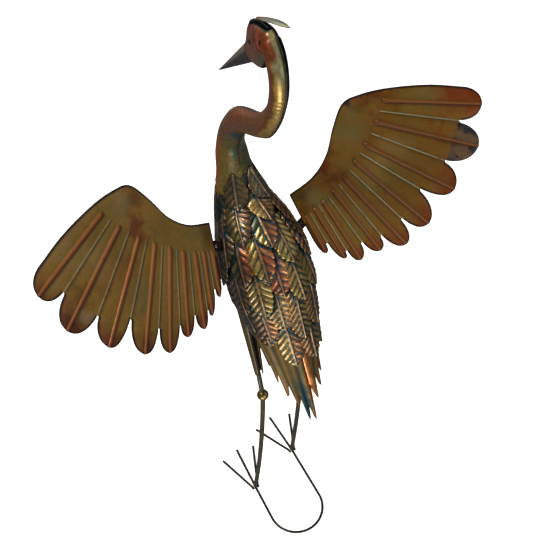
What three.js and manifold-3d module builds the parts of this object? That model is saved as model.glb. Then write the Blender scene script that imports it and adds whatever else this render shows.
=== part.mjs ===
// A sheet-metal heron for the garden: spread wings, an S-shaped neck, overlapping leaf feathers,
// rod legs with round ankle balls, wire toes and a hairpin wire that lies on the ground behind it.
// Units are millimetres, +Z is up, the bird faces -Y and its left side is +X.
import * as THREE from "three";
import { mergeVertices } from "three/addons/utils/BufferGeometryUtils.js";
import Module from "manifold-3d";

const wasm = await Module();
wasm.setup();

const TAU = Math.PI * 2;
const GAP = 0.3; // clearance left where two pieces touch
const FUSE = 0.5; // clearance cut round a piece that passes through a feather row

// Ground wires and legs
const WIRE_R = 1.9; // half the ground wire, measured to its flats
const FOOT = { left: { x: 47.3, y: 16.5 }, right: { x: -46.7, y: -15.9 } };
const TOES = {
  // [degrees towards the left of straight ahead, length]
  left: { inner: [-21.5, 77], middle: [-2.2, 81.5], outer: [18.7, 75] },
  right: { inner: [27.3, 74.5], middle: [3.7, 79], outer: [-21.5, 70.5] },
};
const TOE_ROOT = { aside: 6.3, ahead: 2.2 }; // where a side toe leaves its hook beside the leg
const LOOP = { x: 0.5, y: 85, radius: 48.2 }; // the round end of the hairpin
const ROD_R = 3.1;
const ROD_BOW = 4; // how far a shank bows back at half height
const BALL_R = 9;
const ANKLE = {
  left: { x: 37, y: 34.5, z: 385 },
  right: { x: -37.5, y: 23, z: 385 },
};
const HIP = { x: 30.5, y: -50, z: 604 };
const THIGH_START = 48; // the rolled sheet starts this far above the ankle ball's centre
const THIGH_R = [3.7, 13.4]; // its inner radius at the bottom and at the hip
const THIGH_SLOT = 62; // degrees left open along the back

// Body: a teardrop along an axis in the middle plane, stations as [y, z, half-width]
const BODY_STATIONS = [
  [-109, 756, 21],
  [-100, 732, 28],
  [-84, 704, 37.5],
  [-60, 680, 48],
  [-33, 652, 56],
  [-8, 617, 57.5],
  [16, 580, 51],
  [40, 543, 43],
  [64, 504, 36],
  [90, 465, 30],
  [121, 423, 25],
];
const BODY_DEPTH = 0.96; // depth from back to breast as a share of the width
const CORE_END = 0.74; // share of the axis where the closed shell ends
const CORE_WAIST = { from: 140, to: 172, depth: 5.4 }; // the shell steps in to take the tail's top
const BODY_SIDES = 16;

// Feather rows on the body: where the roots lie down the axis, then [degrees round, tip] of each
const ROWS = [
  [3, [-101, 52], [-36, 54], [29, 54], [94, 52], [160, 50], [-166, 50]],
  [31, [-107, 100], [-58, 107], [-13, 87], [34, 105], [81, 98], [128, 100], [180, 98]],
  [58, [-104, 128], [-62, 130], [1, 117], [67, 126], [112, 126], [157, 124], [-150, 124]],
  [84, [-130, 150], [-92, 152], [-54, 148], [-18, 140], [19, 150], [47, 150], [86, 152], [135, 150]],
  [114, [-112, 188], [-76, 192], [-45, 186], [-17, 191], [6, 173], [34, 198], [64, 196], [100, 190]],
  [162, [-96, 236], [-66, 244], [-36, 240], [-8, 249], [16, 226], [40, 245], [68, 242], [100, 236]],
  [211, [-84, 276], [-54, 280], [-22, 288], [15, 287], [50, 280], [82, 272]],
];
const FEATHER_WIDTH = 36;
// share along a leaf, then its half-width as a share of the widest
const LEAF = [
  [0, 0.7],
  [0.32, 0.86],
  [0.62, 1],
  [0.87, 0.74],
  [1, 0.16],
];
const SHEET = 0.8; // thickness of the feather metal
const LIFT_ROOT = 1;
const LIFT_SLOPE = 0.096; // how fast a feather stands off the body
const QUILL_RAISE = 0.9;

// Tail: long pleated feathers round the end of the body, [degrees round, tip] of each
const TAIL = [
  [-108, 285],
  [-87, 312],
  [-65, 333],
  [-43, 350],
  [-20, 364],
  [4, 392],
  [26, 389],
  [47, 358],
  [66, 352],
  [84, 324],
  [100, 300],
  [116, 278],
];
const TAIL_START = 176;
const TAIL_NOTCH = 25; // how far a notch lies above the shorter of its two tips
const PLEAT = 2.6;
const TAIL_FLARE = 1.8; // how far the tips turn out

// Neck and head, in the middle plane: [y, z, half-width, half-depth]
const NECK_STATIONS = [
  [-109.2, 756.5, 21.5, 21],
  [-113, 776, 20.6, 20.8],
  [-113.5, 797, 17.8, 18.6],
  [-107, 820, 16.3, 17.8],
  [-97, 841, 15.4, 17],
  [-84, 861.5, 15, 16.3],
  [-66.4, 876.5, 14.6, 15.8],
  [-46, 891, 14, 15.2],
  [-26, 907.5, 13.8, 15],
  [-11.5, 926, 12.6, 14],
  [-1.2, 944.5, 11.4, 12.9],
  [5, 958, 10.5, 12],
  [9.3, 971.6, 10.1, 11.7],
  [12.2, 985, 10.2, 12],
  [13.7, 997, 10.4, 12.2],
  [13.6, 1010, 10.6, 12.4],
  [10.5, 1027, 11, 12.8],
  [4, 1042, 11.4, 12.6],
  [-6, 1051, 11.6, 12],
];
const NECK_STEPS = 23;
const NECK_SIDES = 12;
const SEAM_RAISE = 1.3; // the welded flange along the back of the neck
const HEAD_BACK = { y: -2, z: 1060 };
const HEAD_FRONT = { y: -52.6, z: 998.5 };
// share along the head: half-width, half-depth on the crown side, half-depth on the throat side
const HEAD_PROFILE = [
  [0, 6, 8, 6],
  [0.07, 9.6, 14, 10],
  [0.2, 12, 22, 16],
  [0.4, 11.8, 25, 20.8],
  [0.6, 9, 22.4, 22.6],
  [0.78, 6.4, 16.8, 20.6],
  [0.91, 5.9, 12.6, 15.8],
  [1, 5.6, 10.4, 10.4],
];
const BILL_TIP = { y: -135, z: 899.5 };
const BILL_BASE = { halfWidth: 6, halfDepth: 10.4 };
const EYE = { along: 0.5, rise: 6, radius: 2.8, proud: 1.2 };
const CREST = [
  [-34, 1060, 1.2],
  [-27, 1065.5, 3.4],
  [-11, 1076, 4.6],
  [5, 1086, 4.6],
  [20, 1094, 3.8],
  [36, 1102, 0.6],
];

// Wings. Each lies in a plane: u runs out along the arm, v towards the leading edge.
const WINGS = {
  left: { root: [61.8, -60.3, 719.6], u: [0.7623, 0.0336, 0.6465], v: [-0.4351, -0.7129, 0.5501] },
  right: { root: [-57.2, -61.3, 707.2], u: [-0.7954, -0.0486, 0.6042], v: [0.4589, -0.6996, 0.5478] },
};
const WING_SHEET = 1.6;
const WING_RIBS = [
  // root u, v then tip u, v of each feather's raised rib, from the outermost inwards
  [173, 0, 257, -98],
  [147, -12, 216, -135],
  [117, -22, 155, -154],
  [92, -28, 99, -163],
  [67, -32, 58, -162],
  [45, -35, 28, -143],
  [25, -35, 0, -133],
  [10, -34, -13, -116],
  [-6, -33, -25, -92],
];
const WING_NOTCHES = [
  // u, v of the notch between neighbouring feathers
  [225, -96],
  [175, -121],
  [125, -125],
  [79, -137],
  [43, -133],
  [18, -121],
  [-5, -114],
  [-15, -87],
];
const WING_EDGE = [
  // u, v along the leading edge, from the root to the wing tip
  [0.5, 0.8],
  [38, -5],
  [72, 2],
  [105, 21],
  [135, 33.5],
  [158, 26],
  [190, 4],
  [228, -31],
  [255, -64],
];
const WING_ROOT_LOW = [-17, -46];
const RIB_R = [2.6, 1.8];
const GROOVE_R = 0.9;
const TAB = { length: 27, width: 13, thick: 2.4 }; // the strip that carries a wing
const BOLT = { radius: 3.2, height: 3, left: [-14.6, -27], right: [-19, -39] };

const material = (color, roughness, metalness = 0.85) =>
  new THREE.MeshStandardMaterial({ color, roughness, metalness });
const steel = material(0x4d4a40, 0.55);
const bronze = material(0x7a6236, 0.42);
const copper = material(0x8a4a2a, 0.4);
const brass = material(0xa08a4c, 0.35);
const darkBill = material(0x4c4a52, 0.5);
const silver = material(0xb4b8a6, 0.4);

const v3 = (x, y, z) => new THREE.Vector3(x, y, z);
const rad = THREE.MathUtils.degToRad;
const mix = THREE.MathUtils.lerp;

// Keeps only the positions, merges shared corners and turns the faces outwards.
function closed(geometry) {
  const bare = geometry.clone();
  bare.deleteAttribute("normal");
  bare.deleteAttribute("uv");
  const merged = mergeVertices(bare, 1e-4);
  const p = merged.attributes.position;
  const index = merged.index.array;
  const [a, b, c] = [v3(), v3(), v3()];
  let volume = 0;
  for (let i = 0; i < index.length; i += 3) {
    a.fromBufferAttribute(p, index[i]);
    b.fromBufferAttribute(p, index[i + 1]);
    c.fromBufferAttribute(p, index[i + 2]);
    volume += a.dot(b.cross(c));
  }
  if (volume < 0)
    for (let i = 0; i < index.length; i += 3)
      [index[i + 1], index[i + 2]] = [index[i + 2], index[i + 1]];
  return merged;
}

function toSolid(geometry) {
  const g = closed(geometry);
  return new wasm.Manifold(
    new wasm.Mesh({
      numProp: 3,
      vertProperties: new Float32Array(g.attributes.position.array),
      triVerts: new Uint32Array(g.index.array),
    }),
  );
}

function fromSolid(solid) {
  const mesh = solid.getMesh();
  const g = new THREE.BufferGeometry();
  g.setAttribute("position", new THREE.BufferAttribute(mesh.vertProperties, 3));
  g.setIndex(new THREE.BufferAttribute(mesh.triVerts, 1));
  return g;
}

// The largest body of a solid, where a cut has left loose slivers.
function largest(solid) {
  const bodies = solid.decompose();
  return bodies.reduce((a, b) => (a.volume() > b.volume() ? a : b));
}

// Moves every corner of a geometry by a function.
function shaped(geometry, place) {
  const p = geometry.attributes.position;
  for (let i = 0; i < p.count; i++) {
    const q = place(p.getX(i), p.getY(i), p.getZ(i));
    p.setXYZ(i, q.x, q.y, q.z);
  }
  return closed(geometry);
}

// A closed sheet: place(u, v, w) gives a point, u and v run 0 to 1 over it and w is 0 or 1 through it.
const sheet = (stepsU, stepsV, place) =>
  shaped(new THREE.BoxGeometry(1, 1, 1, stepsU, stepsV, 1), (x, y, z) =>
    place(x + 0.5, y + 0.5, z + 0.5),
  );

// A closed tube: place(t, x, z) gives a point from the share t along it and the unit circle (x, z).
const tube = (steps, sides, place, turn = 0) =>
  shaped(
    new THREE.CylinderGeometry(1, 1, 1, sides, steps, false, turn),
    (x, y, z) => place(0.5 - y, x, z),
  );

// A round rod or wire through points; flat lays one of its flats downwards.
function rod(points, radius, sides = 8) {
  const flat = radius / Math.cos(Math.PI / sides);
  return tube(
    points.length - 1,
    sides,
    (t, x, z) => {
      const i = Math.round(t * (points.length - 1));
      const ahead = points[Math.min(i + 1, points.length - 1)];
      const along = ahead.clone().sub(points[Math.max(i - 1, 0)]).normalize();
      const guide = Math.abs(along.z) > 0.7 ? v3(0, 1, 0) : v3(0, 0, 1);
      const across = guide.clone().cross(along).normalize();
      const up = along.clone().cross(across);
      return points[i].clone().addScaledVector(across, x * flat).addScaledVector(up, z * flat);
    },
    Math.PI / sides,
  );
}

// Smooth values between stations, by distance share
const smoothLine = (points) => new THREE.CatmullRomCurve3(points, false, "centripetal");

// Ground wires
const toeWay = (degrees) => v3(Math.sin(rad(degrees)), -Math.cos(rad(degrees)), 0);
const footPoint = (side) => v3(FOOT[side].x, FOOT[side].y, WIRE_R);
function toeTip(side, name) {
  const [degrees, length] = TOES[side][name];
  return footPoint(side).addScaledVector(toeWay(degrees), length);
}
function hairpinPoints() {
  const bend = Array.from({ length: 17 }, (_, i) => {
    const a = (Math.PI * i) / 16;
    return v3(LOOP.x + LOOP.radius * Math.cos(a), LOOP.y + LOOP.radius * Math.sin(a), WIRE_R);
  });
  const arm = (side) => [toeTip(side, "middle"), footPoint(side)];
  return [...arm("left"), ...bend, ...arm("right").reverse()];
}

// A side toe, hooked round beside the leg where it is welded on
function sideToe(side, name) {
  const [degrees, length] = TOES[side][name];
  const outward = Math.sign(degrees - TOES[side].middle[0]);
  const beside = (x, y) => footPoint(side).add(v3(outward * x, y, 0));
  const root = beside(TOE_ROOT.aside, -TOE_ROOT.ahead);
  const tip = root.clone().addScaledVector(toeWay(degrees), length);
  return rod([tip, root, beside(TOE_ROOT.aside - 0.4, 1.4), beside(TOE_ROOT.aside - 1.9, 3.8)], WIRE_R);
}

// Body surface: distance down the axis in mm, angle from the spine in radians, lift off the surface
const bodyAxis = smoothLine(BODY_STATIONS.map(([y, z]) => v3(0, y, z)));
const bodyWidths = smoothLine(BODY_STATIONS.map(([, , r], i) => v3(i, r, 0)));
const BODY_LENGTH = bodyAxis.getLength();
function bodyFrame(distance) {
  const share = THREE.MathUtils.clamp(distance / BODY_LENGTH, 0, 1);
  const along = bodyAxis.getTangentAt(share);
  return {
    centre: bodyAxis.getPointAt(share),
    back: v3(0, -along.z, along.y), // towards the spine
    radius: bodyWidths.getPoint(bodyAxis.getUtoTmapping(share)).y,
  };
}
function onBody(distance, angle, lift) {
  const { centre, back, radius } = bodyFrame(distance);
  return centre
    .clone()
    .add(v3((radius + lift) * Math.sin(angle), 0, 0))
    .addScaledVector(back, (radius * BODY_DEPTH + lift) * Math.cos(angle));
}

// The closed shell under the feathers
function bodyShell(grow = 0) {
  const end = BODY_LENGTH * CORE_END;
  return tube(11, BODY_SIDES, (t, x, z) => {
    const distance = t * end;
    const { centre, radius, back } = bodyFrame(distance);
    const longer = v3(0, -back.z, back.y).multiplyScalar(t === 0 ? grow : 0);
    if (Math.hypot(x, z) < 0.5) return centre.add(longer);
    const close = Math.sqrt(Math.max(0.02, 1 - Math.max(0, (t - 0.8) / 0.2) ** 2));
    const waist = THREE.MathUtils.smoothstep(distance, CORE_WAIST.from, CORE_WAIST.to) * CORE_WAIST.depth;
    return onBody(distance, Math.atan2(x, z), (radius - waist) * close - radius + grow).add(longer);
  });
}

// One leaf feather on the body; edges gives the angles its root reaches to on either side
function bodyFeather(root, tip, angle, edges) {
  return sheet(2, LEAF.length - 1, (u, f, w) => {
    const step = Math.round(f * (LEAF.length - 1));
    const distance = mix(root, tip, LEAF[step][0]);
    const side = Math.round(2 * u - 1);
    const ridge = QUILL_RAISE * (1 - Math.abs(side));
    const lift = LIFT_ROOT + LIFT_SLOPE * (distance - root) + ridge + w * SHEET;
    const reach = (side * LEAF[step][1] * FEATHER_WIDTH) / 2 / (bodyFrame(distance).radius + lift);
    if (step > 0) return onBody(distance, angle + reach, lift);
    return onBody(distance, side < 0 ? edges[0] : side > 0 ? edges[1] : angle, lift);
  });
}

function featherRow([root, ...feathers]) {
  const sorted = feathers.map(([degrees, tip]) => [rad(degrees), tip]).sort((a, b) => a[0] - b[0]);
  const overlap = 0.02;
  const widest = rad(36);
  let row = null;
  sorted.forEach(([angle, tip], i) => {
    const before = i ? sorted[i - 1][0] : sorted[sorted.length - 1][0] - TAU;
    const after = i < sorted.length - 1 ? sorted[i + 1][0] : sorted[0][0] + TAU;
    const low = Math.max((angle + before) / 2 - overlap, angle - widest);
    const high = Math.min((angle + after) / 2 + overlap, angle + widest);
    const feather = toSolid(bodyFeather(root, tip, angle, [low, high]));
    row = row ? row.add(feather) : feather;
  });
  return row;
}

// Tail: one pleated sheet that hangs round the end of the body, open at the belly
function tailSkirt() {
  const columns = [];
  TAIL.forEach(([degrees, tip], i) => {
    const next = TAIL[i + 1];
    if (!i) columns.push([degrees - 10, tip - TAIL_NOTCH, 1]);
    columns.push([degrees, tip, 0]);
    if (next) columns.push([(degrees + next[0]) / 2, Math.min(tip, next[1]) - TAIL_NOTCH, 1]);
    else columns.push([degrees + 10, tip - TAIL_NOTCH, 1]);
  });
  return sheet(columns.length - 1, 4, (u, v, w) => {
    const [degrees, end, valley] = columns[Math.round(u * (columns.length - 1))];
    const distance = mix(TAIL_START, end, v);
    const fold = PLEAT * valley * Math.min(1, 0.35 + v);
    const flare = TAIL_FLARE * v ** 3 * (1 - valley);
    return onBody(distance, rad(degrees), flare - 1.2 - fold - SHEET * (1 - w));
  });
}

// Legs
const vec = ({ x, y, z }) => v3(x, y, z);
const hip = (side) => v3(HIP.x * (side === "left" ? 1 : -1), HIP.y, HIP.z);
function thighLine(side) {
  const from = vec(ANKLE[side]);
  const way = hip(side).sub(from);
  const length = way.length();
  return { from, way: way.normalize(), length };
}
function shank(side) {
  const from = v3(FOOT[side].x, FOOT[side].y, 2 * WIRE_R + 2 * GAP);
  const ankle = vec(ANKLE[side]);
  const to = ankle.clone().addScaledVector(ankle.clone().sub(from).normalize(), -(BALL_R + GAP));
  const points = Array.from({ length: 7 }, (_, i) => {
    const t = i / 6;
    return from.clone().lerp(to, t).add(v3(0, 4 * ROD_BOW * t * (1 - t), 0));
  });
  return rod(points, ROD_R, 8);
}
function thighRod(side, cutter) {
  const { from, way, length } = thighLine(side);
  const at = (d) => from.clone().addScaledVector(way, d);
  const whole = toSolid(rod([at(BALL_R + GAP), at(length)], ROD_R, 8));
  return fromSolid(largest(whole.subtract(cutter)));
}
function thighSheet(side, cutter) {
  const { from, way, length } = thighLine(side);
  const across = v3(1, 0, 0).addScaledVector(way, -way.x).normalize();
  const back = across.clone().cross(way).normalize();
  if (back.y < 0) back.negate();
  const turn = side === "left" ? rad(14) : rad(-14);
  const whole = sheet(10, 2, (u, v, w) => {
    const a = turn + rad(THIGH_SLOT / 2) + u * rad(360 - THIGH_SLOT);
    const r = mix(THIGH_R[0], THIGH_R[1], v) + w * SHEET;
    return from
      .clone()
      .addScaledVector(way, mix(THIGH_START, length, v))
      .addScaledVector(back, r * Math.cos(a))
      .addScaledVector(across, r * Math.sin(a));
  });
  return fromSolid(largest(toSolid(whole).subtract(cutter)));
}

// The room a thigh needs where it passes through the feathers
function thighRoom(side) {
  const { from, way, length } = thighLine(side);
  const across = v3(1, 0, 0).addScaledVector(way, -way.x).normalize();
  const back = across.clone().cross(way);
  return tube(1, 12, (t, x, z) => {
    const r = (mix(THIGH_R[0], THIGH_R[1], t) + SHEET + FUSE) / Math.cos(Math.PI / 12);
    return from
      .clone()
      .addScaledVector(way, mix(THIGH_START, length + FUSE, t))
      .addScaledVector(back, r * z)
      .addScaledVector(across, r * x);
  });
}

// Neck and head
function neckSolid() {
  const line = smoothLine(NECK_STATIONS.map(([y, z]) => v3(0, y, z)));
  const halves = smoothLine(NECK_STATIONS.map(([, , a, b], i) => v3(i, a, b)));
  return toSolid(
    tube(NECK_STEPS, NECK_SIDES, (t, x, z) => {
      const at = line.getPointAt(t);
      const along = line.getTangentAt(t);
      const half = halves.getPoint(line.getUtoTmapping(t));
      const back = v3(0, along.z, -along.y);
      const seam = z > 0.99 ? SEAM_RAISE : 0;
      return at.addScaledVector(back, z * half.z + seam).add(v3(x * half.y, 0, 0));
    }),
  );
}
const headWay = v3(0, HEAD_FRONT.y - HEAD_BACK.y, HEAD_FRONT.z - HEAD_BACK.z);
const headLength = headWay.length();
headWay.normalize();
const crownWay = v3(0, headWay.z, -headWay.y); // from the head's axis towards the crown
function headSize(share) {
  const n = HEAD_PROFILE.findIndex(([s]) => s >= share - 1e-9);
  const [a, b] = [HEAD_PROFILE[Math.max(n - 1, 0)], HEAD_PROFILE[n]];
  const k = b[0] > a[0] ? (share - a[0]) / (b[0] - a[0]) : 1;
  return [1, 2, 3].map((i) => mix(a[i], b[i], k));
}
const headPoint = (share) =>
  v3(0, HEAD_BACK.y, HEAD_BACK.z).addScaledVector(headWay, share * headLength);
function headSolid() {
  return toSolid(
    tube(HEAD_PROFILE.length - 1, NECK_SIDES, (t, x, z) => {
      const [share, half, crown, throat] = HEAD_PROFILE[Math.round(t * (HEAD_PROFILE.length - 1))];
      const depth = z > 0 ? crown : throat;
      return headPoint(share)
        .addScaledVector(crownWay, z * depth)
        .add(v3(x * half, 0, 0));
    }),
  );
}
function bill() {
  const base = headPoint(1).addScaledVector(headWay, GAP);
  const tip = v3(0, BILL_TIP.y, BILL_TIP.z);
  const way = tip.clone().sub(base);
  return tube(4, 6, (t, x, z) => {
    const size = 1 - 0.93 * t;
    return base
      .clone()
      .addScaledVector(way, t)
      .addScaledVector(crownWay, z * BILL_BASE.halfDepth * size)
      .add(v3(x * BILL_BASE.halfWidth * size, 0, 0));
  });
}
function eye(side) {
  const [half] = headSize(EYE.along);
  const centre = headPoint(EYE.along).addScaledVector(crownWay, EYE.rise).add(v3(side * (half + GAP), 0, 0));
  return tube(2, 8, (t, x, z) => {
    const r = EYE.radius * (t < 0.75 ? 1 : 0.5);
    return centre
      .clone()
      .add(v3(side * t * EYE.proud, 0, 0))
      .addScaledVector(crownWay, x * r)
      .addScaledVector(headWay, z * r);
  });
}
function crest() {
  const line = smoothLine(CREST.map(([y, z]) => v3(0, y, z)));
  const widths = smoothLine(CREST.map(([, , r], i) => v3(i, r, 0)));
  return sheet(2, 10, (u, v, w) => {
    const at = line.getPointAt(v);
    const along = line.getTangentAt(v);
    const up = v3(0, -along.z, along.y);
    const half = widths.getPoint(line.getUtoTmapping(v)).y;
    const side = 2 * u - 1;
    return at.add(v3(side * half, 0, 0)).addScaledVector(up, w * SHEET + (1 - Math.abs(side)) * 1.2);
  });
}

// Wings, built flat in u and v, then stood in their plane
function wingOutline() {
  const shape = new THREE.Shape();
  const points = WING_EDGE.map(([u, v]) => new THREE.Vector2(u, v));
  shape.moveTo(points[0].x, points[0].y);
  shape.splineThru(points.slice(1));
  let from = points[points.length - 1];
  WING_RIBS.forEach(([ru, rv, tu, tv], i) => {
    const root = new THREE.Vector2(ru, rv);
    const tip = new THREE.Vector2(tu, tv);
    const way = tip.clone().sub(root).normalize();
    const side = new THREE.Vector2(way.y, -way.x);
    const last = i === WING_RIBS.length - 1;
    const to = last ? new THREE.Vector2(-24, -66) : new THREE.Vector2(...WING_NOTCHES[i]);
    const reach = Math.max(0, tip.clone().sub(from).dot(way));
    const back = Math.max(0, tip.clone().sub(to).dot(way));
    const round = 0.3 * Math.abs(from.clone().sub(to).dot(side));
    const a = from.clone().addScaledVector(way, reach * 0.62);
    const b = tip.clone().addScaledVector(side, -round);
    const c = tip.clone().addScaledVector(side, round);
    const d = to.clone().addScaledVector(way, back * 0.62);
    shape.bezierCurveTo(a.x, a.y, b.x, b.y, tip.x, tip.y);
    shape.bezierCurveTo(c.x, c.y, d.x, d.y, to.x, to.y);
    from = to;
  });
  shape.lineTo(...WING_ROOT_LOW);
  shape.closePath();
  return shape;
}
function wingPoint(side, u, v, n) {
  const [root, out, ahead] = [WINGS[side].root, WINGS[side].u, WINGS[side].v].map((a) => v3(...a));
  const normal = out.clone().cross(ahead).normalize();
  if (normal.y < 0) normal.negate();
  return root.addScaledVector(out, u).addScaledVector(ahead, v).addScaledVector(normal, n);
}
function wing(side) {
  const plate = new THREE.ExtrudeGeometry(wingOutline(), {
    depth: WING_SHEET,
    bevelEnabled: false,
    curveSegments: 3,
  });
  let flat = toSolid(plate);
  const bar = (from, to, r0, r1) =>
    toSolid(
      tube(1, 4, (t, x, z) => {
        const way = to.clone().sub(from);
        const across = new THREE.Vector2(-way.y, way.x).normalize();
        const r = mix(r0, r1, t);
        const at = from.clone().addScaledVector(way, t).addScaledVector(across, x * r);
        return v3(at.x, at.y, WING_SHEET * 0.6 + z * r);
      }),
    );
  WING_RIBS.forEach(([ru, rv, tu, tv]) => {
    const [from, to] = [new THREE.Vector2(ru, rv), new THREE.Vector2(tu, tv)];
    flat = flat.add(bar(from, from.clone().lerp(to, 0.985), RIB_R[0], RIB_R[1]));
  });
  WING_NOTCHES.forEach(([nu, nv], i) => {
    const [a, b] = [WING_RIBS[i], WING_RIBS[i + 1]];
    const from = new THREE.Vector2((a[0] + b[0]) / 2, (a[1] + b[1]) / 2);
    flat = flat.add(bar(from, new THREE.Vector2(nu, nv).lerp(from, 0.02), GROOVE_R + 0.5, GROOVE_R + 0.5));
  });
  flat = flat.trimByPlane([0, 0, 1], 0);
  return shaped(fromSolid(flat), (x, y, z) => wingPoint(side, x, y, z));
}
// The strip that carries a wing: it runs from the body out behind the wing's root
function wingTab(side, grow = 0) {
  const size = [TAB.length, TAB.width, TAB.thick].map((n) => n + 2 * grow);
  const [u, v] = BOLT[side];
  return shaped(new THREE.BoxGeometry(...size), (x, y, z) =>
    wingPoint(side, u - 2 + x, v + y, -GAP - TAB.thick / 2 + z),
  );
}
function wingBolt(side, grow = 0) {
  const [u, v] = BOLT[side];
  return tube(2, 6, (t, x, z) => {
    const r = BOLT.radius * (t < 0.75 ? 1 : 0.6) + grow;
    return wingPoint(side, u + x * r, v + z * r, mix(-grow, BOLT.height + grow, t));
  });
}

// Assembly
const heron = new THREE.Group();
const add = (name, geometry, look) => {
  const mesh = new THREE.Mesh(geometry, look);
  mesh.name = name;
  heron.add(mesh);
  return mesh;
};
const place = (name, solid, look) => add(name, fromSolid(solid), look);

add("ground_loop", rod(hairpinPoints(), WIRE_R), steel);
const shell = toSolid(bodyShell());
const shellRoom = toSolid(bodyShell(GAP));
place("body_shell", shell, bronze);

for (const [side, sign] of [
  ["left", 1],
  ["right", -1],
]) {
  add(`${side}_outer_toe`, sideToe(side, "outer"), steel);
  add(`${side}_inner_toe`, sideToe(side, "inner"), steel);
  add(`${side}_shank`, shank(side), steel);
  const ball = new THREE.SphereGeometry(BALL_R, 10, 7);
  add(`${side}_ankle_ball`, closed(ball), brass).position.copy(vec(ANKLE[side]));
  add(`${side}_thigh_rod`, thighRod(side, shellRoom), steel);
  add(`${side}_thigh_sheet`, thighSheet(side, shellRoom), bronze);
  add(`${side}_wing`, wing(side), bronze);
  add(`${side}_wing_bolt`, wingBolt(side), steel);
  place(`${side}_wing_tab`, largest(toSolid(wingTab(side)).subtract(shellRoom)), steel);
  add(`${side}_eye`, eye(sign), steel);
}

// What passes through the feathers gets room
const room = [
  wingTab("left", FUSE),
  wingTab("right", FUSE),
  wingBolt("left", FUSE),
  wingBolt("right", FUSE),
  thighRoom("left"),
  thighRoom("right"),
]
  .map(toSolid)
  .reduce((a, b) => a.add(b), shellRoom);
const clear = (solid) => largest(solid.subtract(room)).simplify(0.05);
place("tail_feathers", clear(toSolid(tailSkirt())), bronze);
ROWS.forEach((row, k) => place(`feather_row_${k + 1}`, clear(featherRow(row)), copper));

place("neck_and_head", largest(neckSolid().add(headSolid()).subtract(shellRoom)), brass);
add("bill", bill(), darkBill);
add("crest", crest(), silver);

// The origin is the middle of the footprint of the whole bird, on the ground
const box = new THREE.Box3().setFromObject(heron);
heron.position.set(-(box.min.x + box.max.x) / 2, -(box.min.y + box.max.y) / 2, -box.min.z);

export default heron;
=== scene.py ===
# Garden heron in lacquered sheet metal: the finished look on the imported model.
# Work is in millimetres in the part's own axes and goes to metres at the end.
import math

import bpy
import numpy as np
from mathutils import Euler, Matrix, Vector


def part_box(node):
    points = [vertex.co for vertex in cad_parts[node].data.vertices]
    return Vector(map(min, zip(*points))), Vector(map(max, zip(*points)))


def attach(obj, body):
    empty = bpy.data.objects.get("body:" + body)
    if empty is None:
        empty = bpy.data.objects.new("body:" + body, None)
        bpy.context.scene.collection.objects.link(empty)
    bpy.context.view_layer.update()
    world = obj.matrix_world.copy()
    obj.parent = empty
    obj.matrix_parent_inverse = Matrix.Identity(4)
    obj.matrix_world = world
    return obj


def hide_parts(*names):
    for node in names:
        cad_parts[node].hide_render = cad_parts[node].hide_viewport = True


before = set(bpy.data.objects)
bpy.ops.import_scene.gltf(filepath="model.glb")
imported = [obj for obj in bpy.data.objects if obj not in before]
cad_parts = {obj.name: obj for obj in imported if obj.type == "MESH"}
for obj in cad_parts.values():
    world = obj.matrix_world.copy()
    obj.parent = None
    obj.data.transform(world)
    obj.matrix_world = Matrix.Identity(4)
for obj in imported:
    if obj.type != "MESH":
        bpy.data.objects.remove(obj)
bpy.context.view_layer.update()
print("frame loaded")

ankles = {"left": (37, 34.5, 385), "right": (-37.5, 23, 385)}
ballLow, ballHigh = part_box("left_ankle_ball")
offset = np.array((ballLow + ballHigh) / 2) * 1000 - np.array(ankles["left"])  # part's axes to the frame


# helpers
def tone(text):
    # a hex colour as linear light
    parts = [int(text[i:i + 2], 16) / 255 for i in (0, 2, 4)]
    return np.array([c / 12.92 if c <= 0.04045 else ((c + 0.055) / 1.055) ** 2.4 for c in parts])


def ramp(value, low, high):
    share = np.clip((np.asarray(value, float) - low) / (high - low), 0, 1)
    return share * share * (3 - 2 * share)


def blend(a, b, share):
    share = np.asarray(share, float)[..., None]
    return a * (1 - share) + b * share


def coated(paint, coats):
    # coats laid in order, each a colour and how much of it covers every point
    for colour, cover in coats:
        paint = blend(paint, colour, cover)
    return paint


def hermite(p1, p2, m1, m2, t):
    return ((2 * t**3 - 3 * t**2 + 1) * p1 + (t**3 - 2 * t**2 + t) * m1
            + (3 * t**2 - 2 * t**3) * p2 + (t**3 - t**2) * m2)


def smoothLine(points, steps=16):
    # centripetal curve through the points, the rule that shaped the solids
    pts = np.asarray(points, float)
    run = np.vstack([2 * pts[0] - pts[1], pts, 2 * pts[-1] - pts[-2]])
    t = np.linspace(0, 1, steps, endpoint=False)[:, None]
    made = []
    for i in range(len(pts) - 1):
        p0, p1, p2, p3 = run[i:i + 4]
        d0, d1, d2 = [max(np.linalg.norm(b - a), 1e-6) ** 0.5 for a, b in ((p0, p1), (p1, p2), (p2, p3))]
        m1 = ((p1 - p0) / d0 - (p2 - p0) / (d0 + d1) + (p2 - p1) / d1) * d1
        m2 = ((p2 - p1) / d1 - (p3 - p1) / (d1 + d2) + (p3 - p2) / d2) * d1
        made.append(hermite(p1, p2, m1, m2, t))
    return np.vstack(made + [pts[-1:]])


def smoothValues(rows):
    # numbers that change smoothly from station to station, in step with smoothLine
    return smoothLine([(i, *row) for i, row in enumerate(rows)])[:, 1:]


def plainSpline(points, steps=12):
    # even spline, for the wing's leading edge
    pts = np.asarray(points, float)
    last = len(pts) - 1
    t = np.linspace(0, 1, steps, endpoint=False)[:, None]
    made = []
    for i in range(last):
        before, after = pts[max(i - 1, 0)], pts[min(i + 2, last)]
        made.append(hermite(pts[i], pts[i + 1], (pts[i + 1] - before) / 2, (after - pts[i]) / 2, t))
    return np.vstack(made + [pts[-1:]])


def arcOf(line):
    return np.r_[0, np.cumsum(np.linalg.norm(np.diff(line, axis=0), axis=1))]


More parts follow.
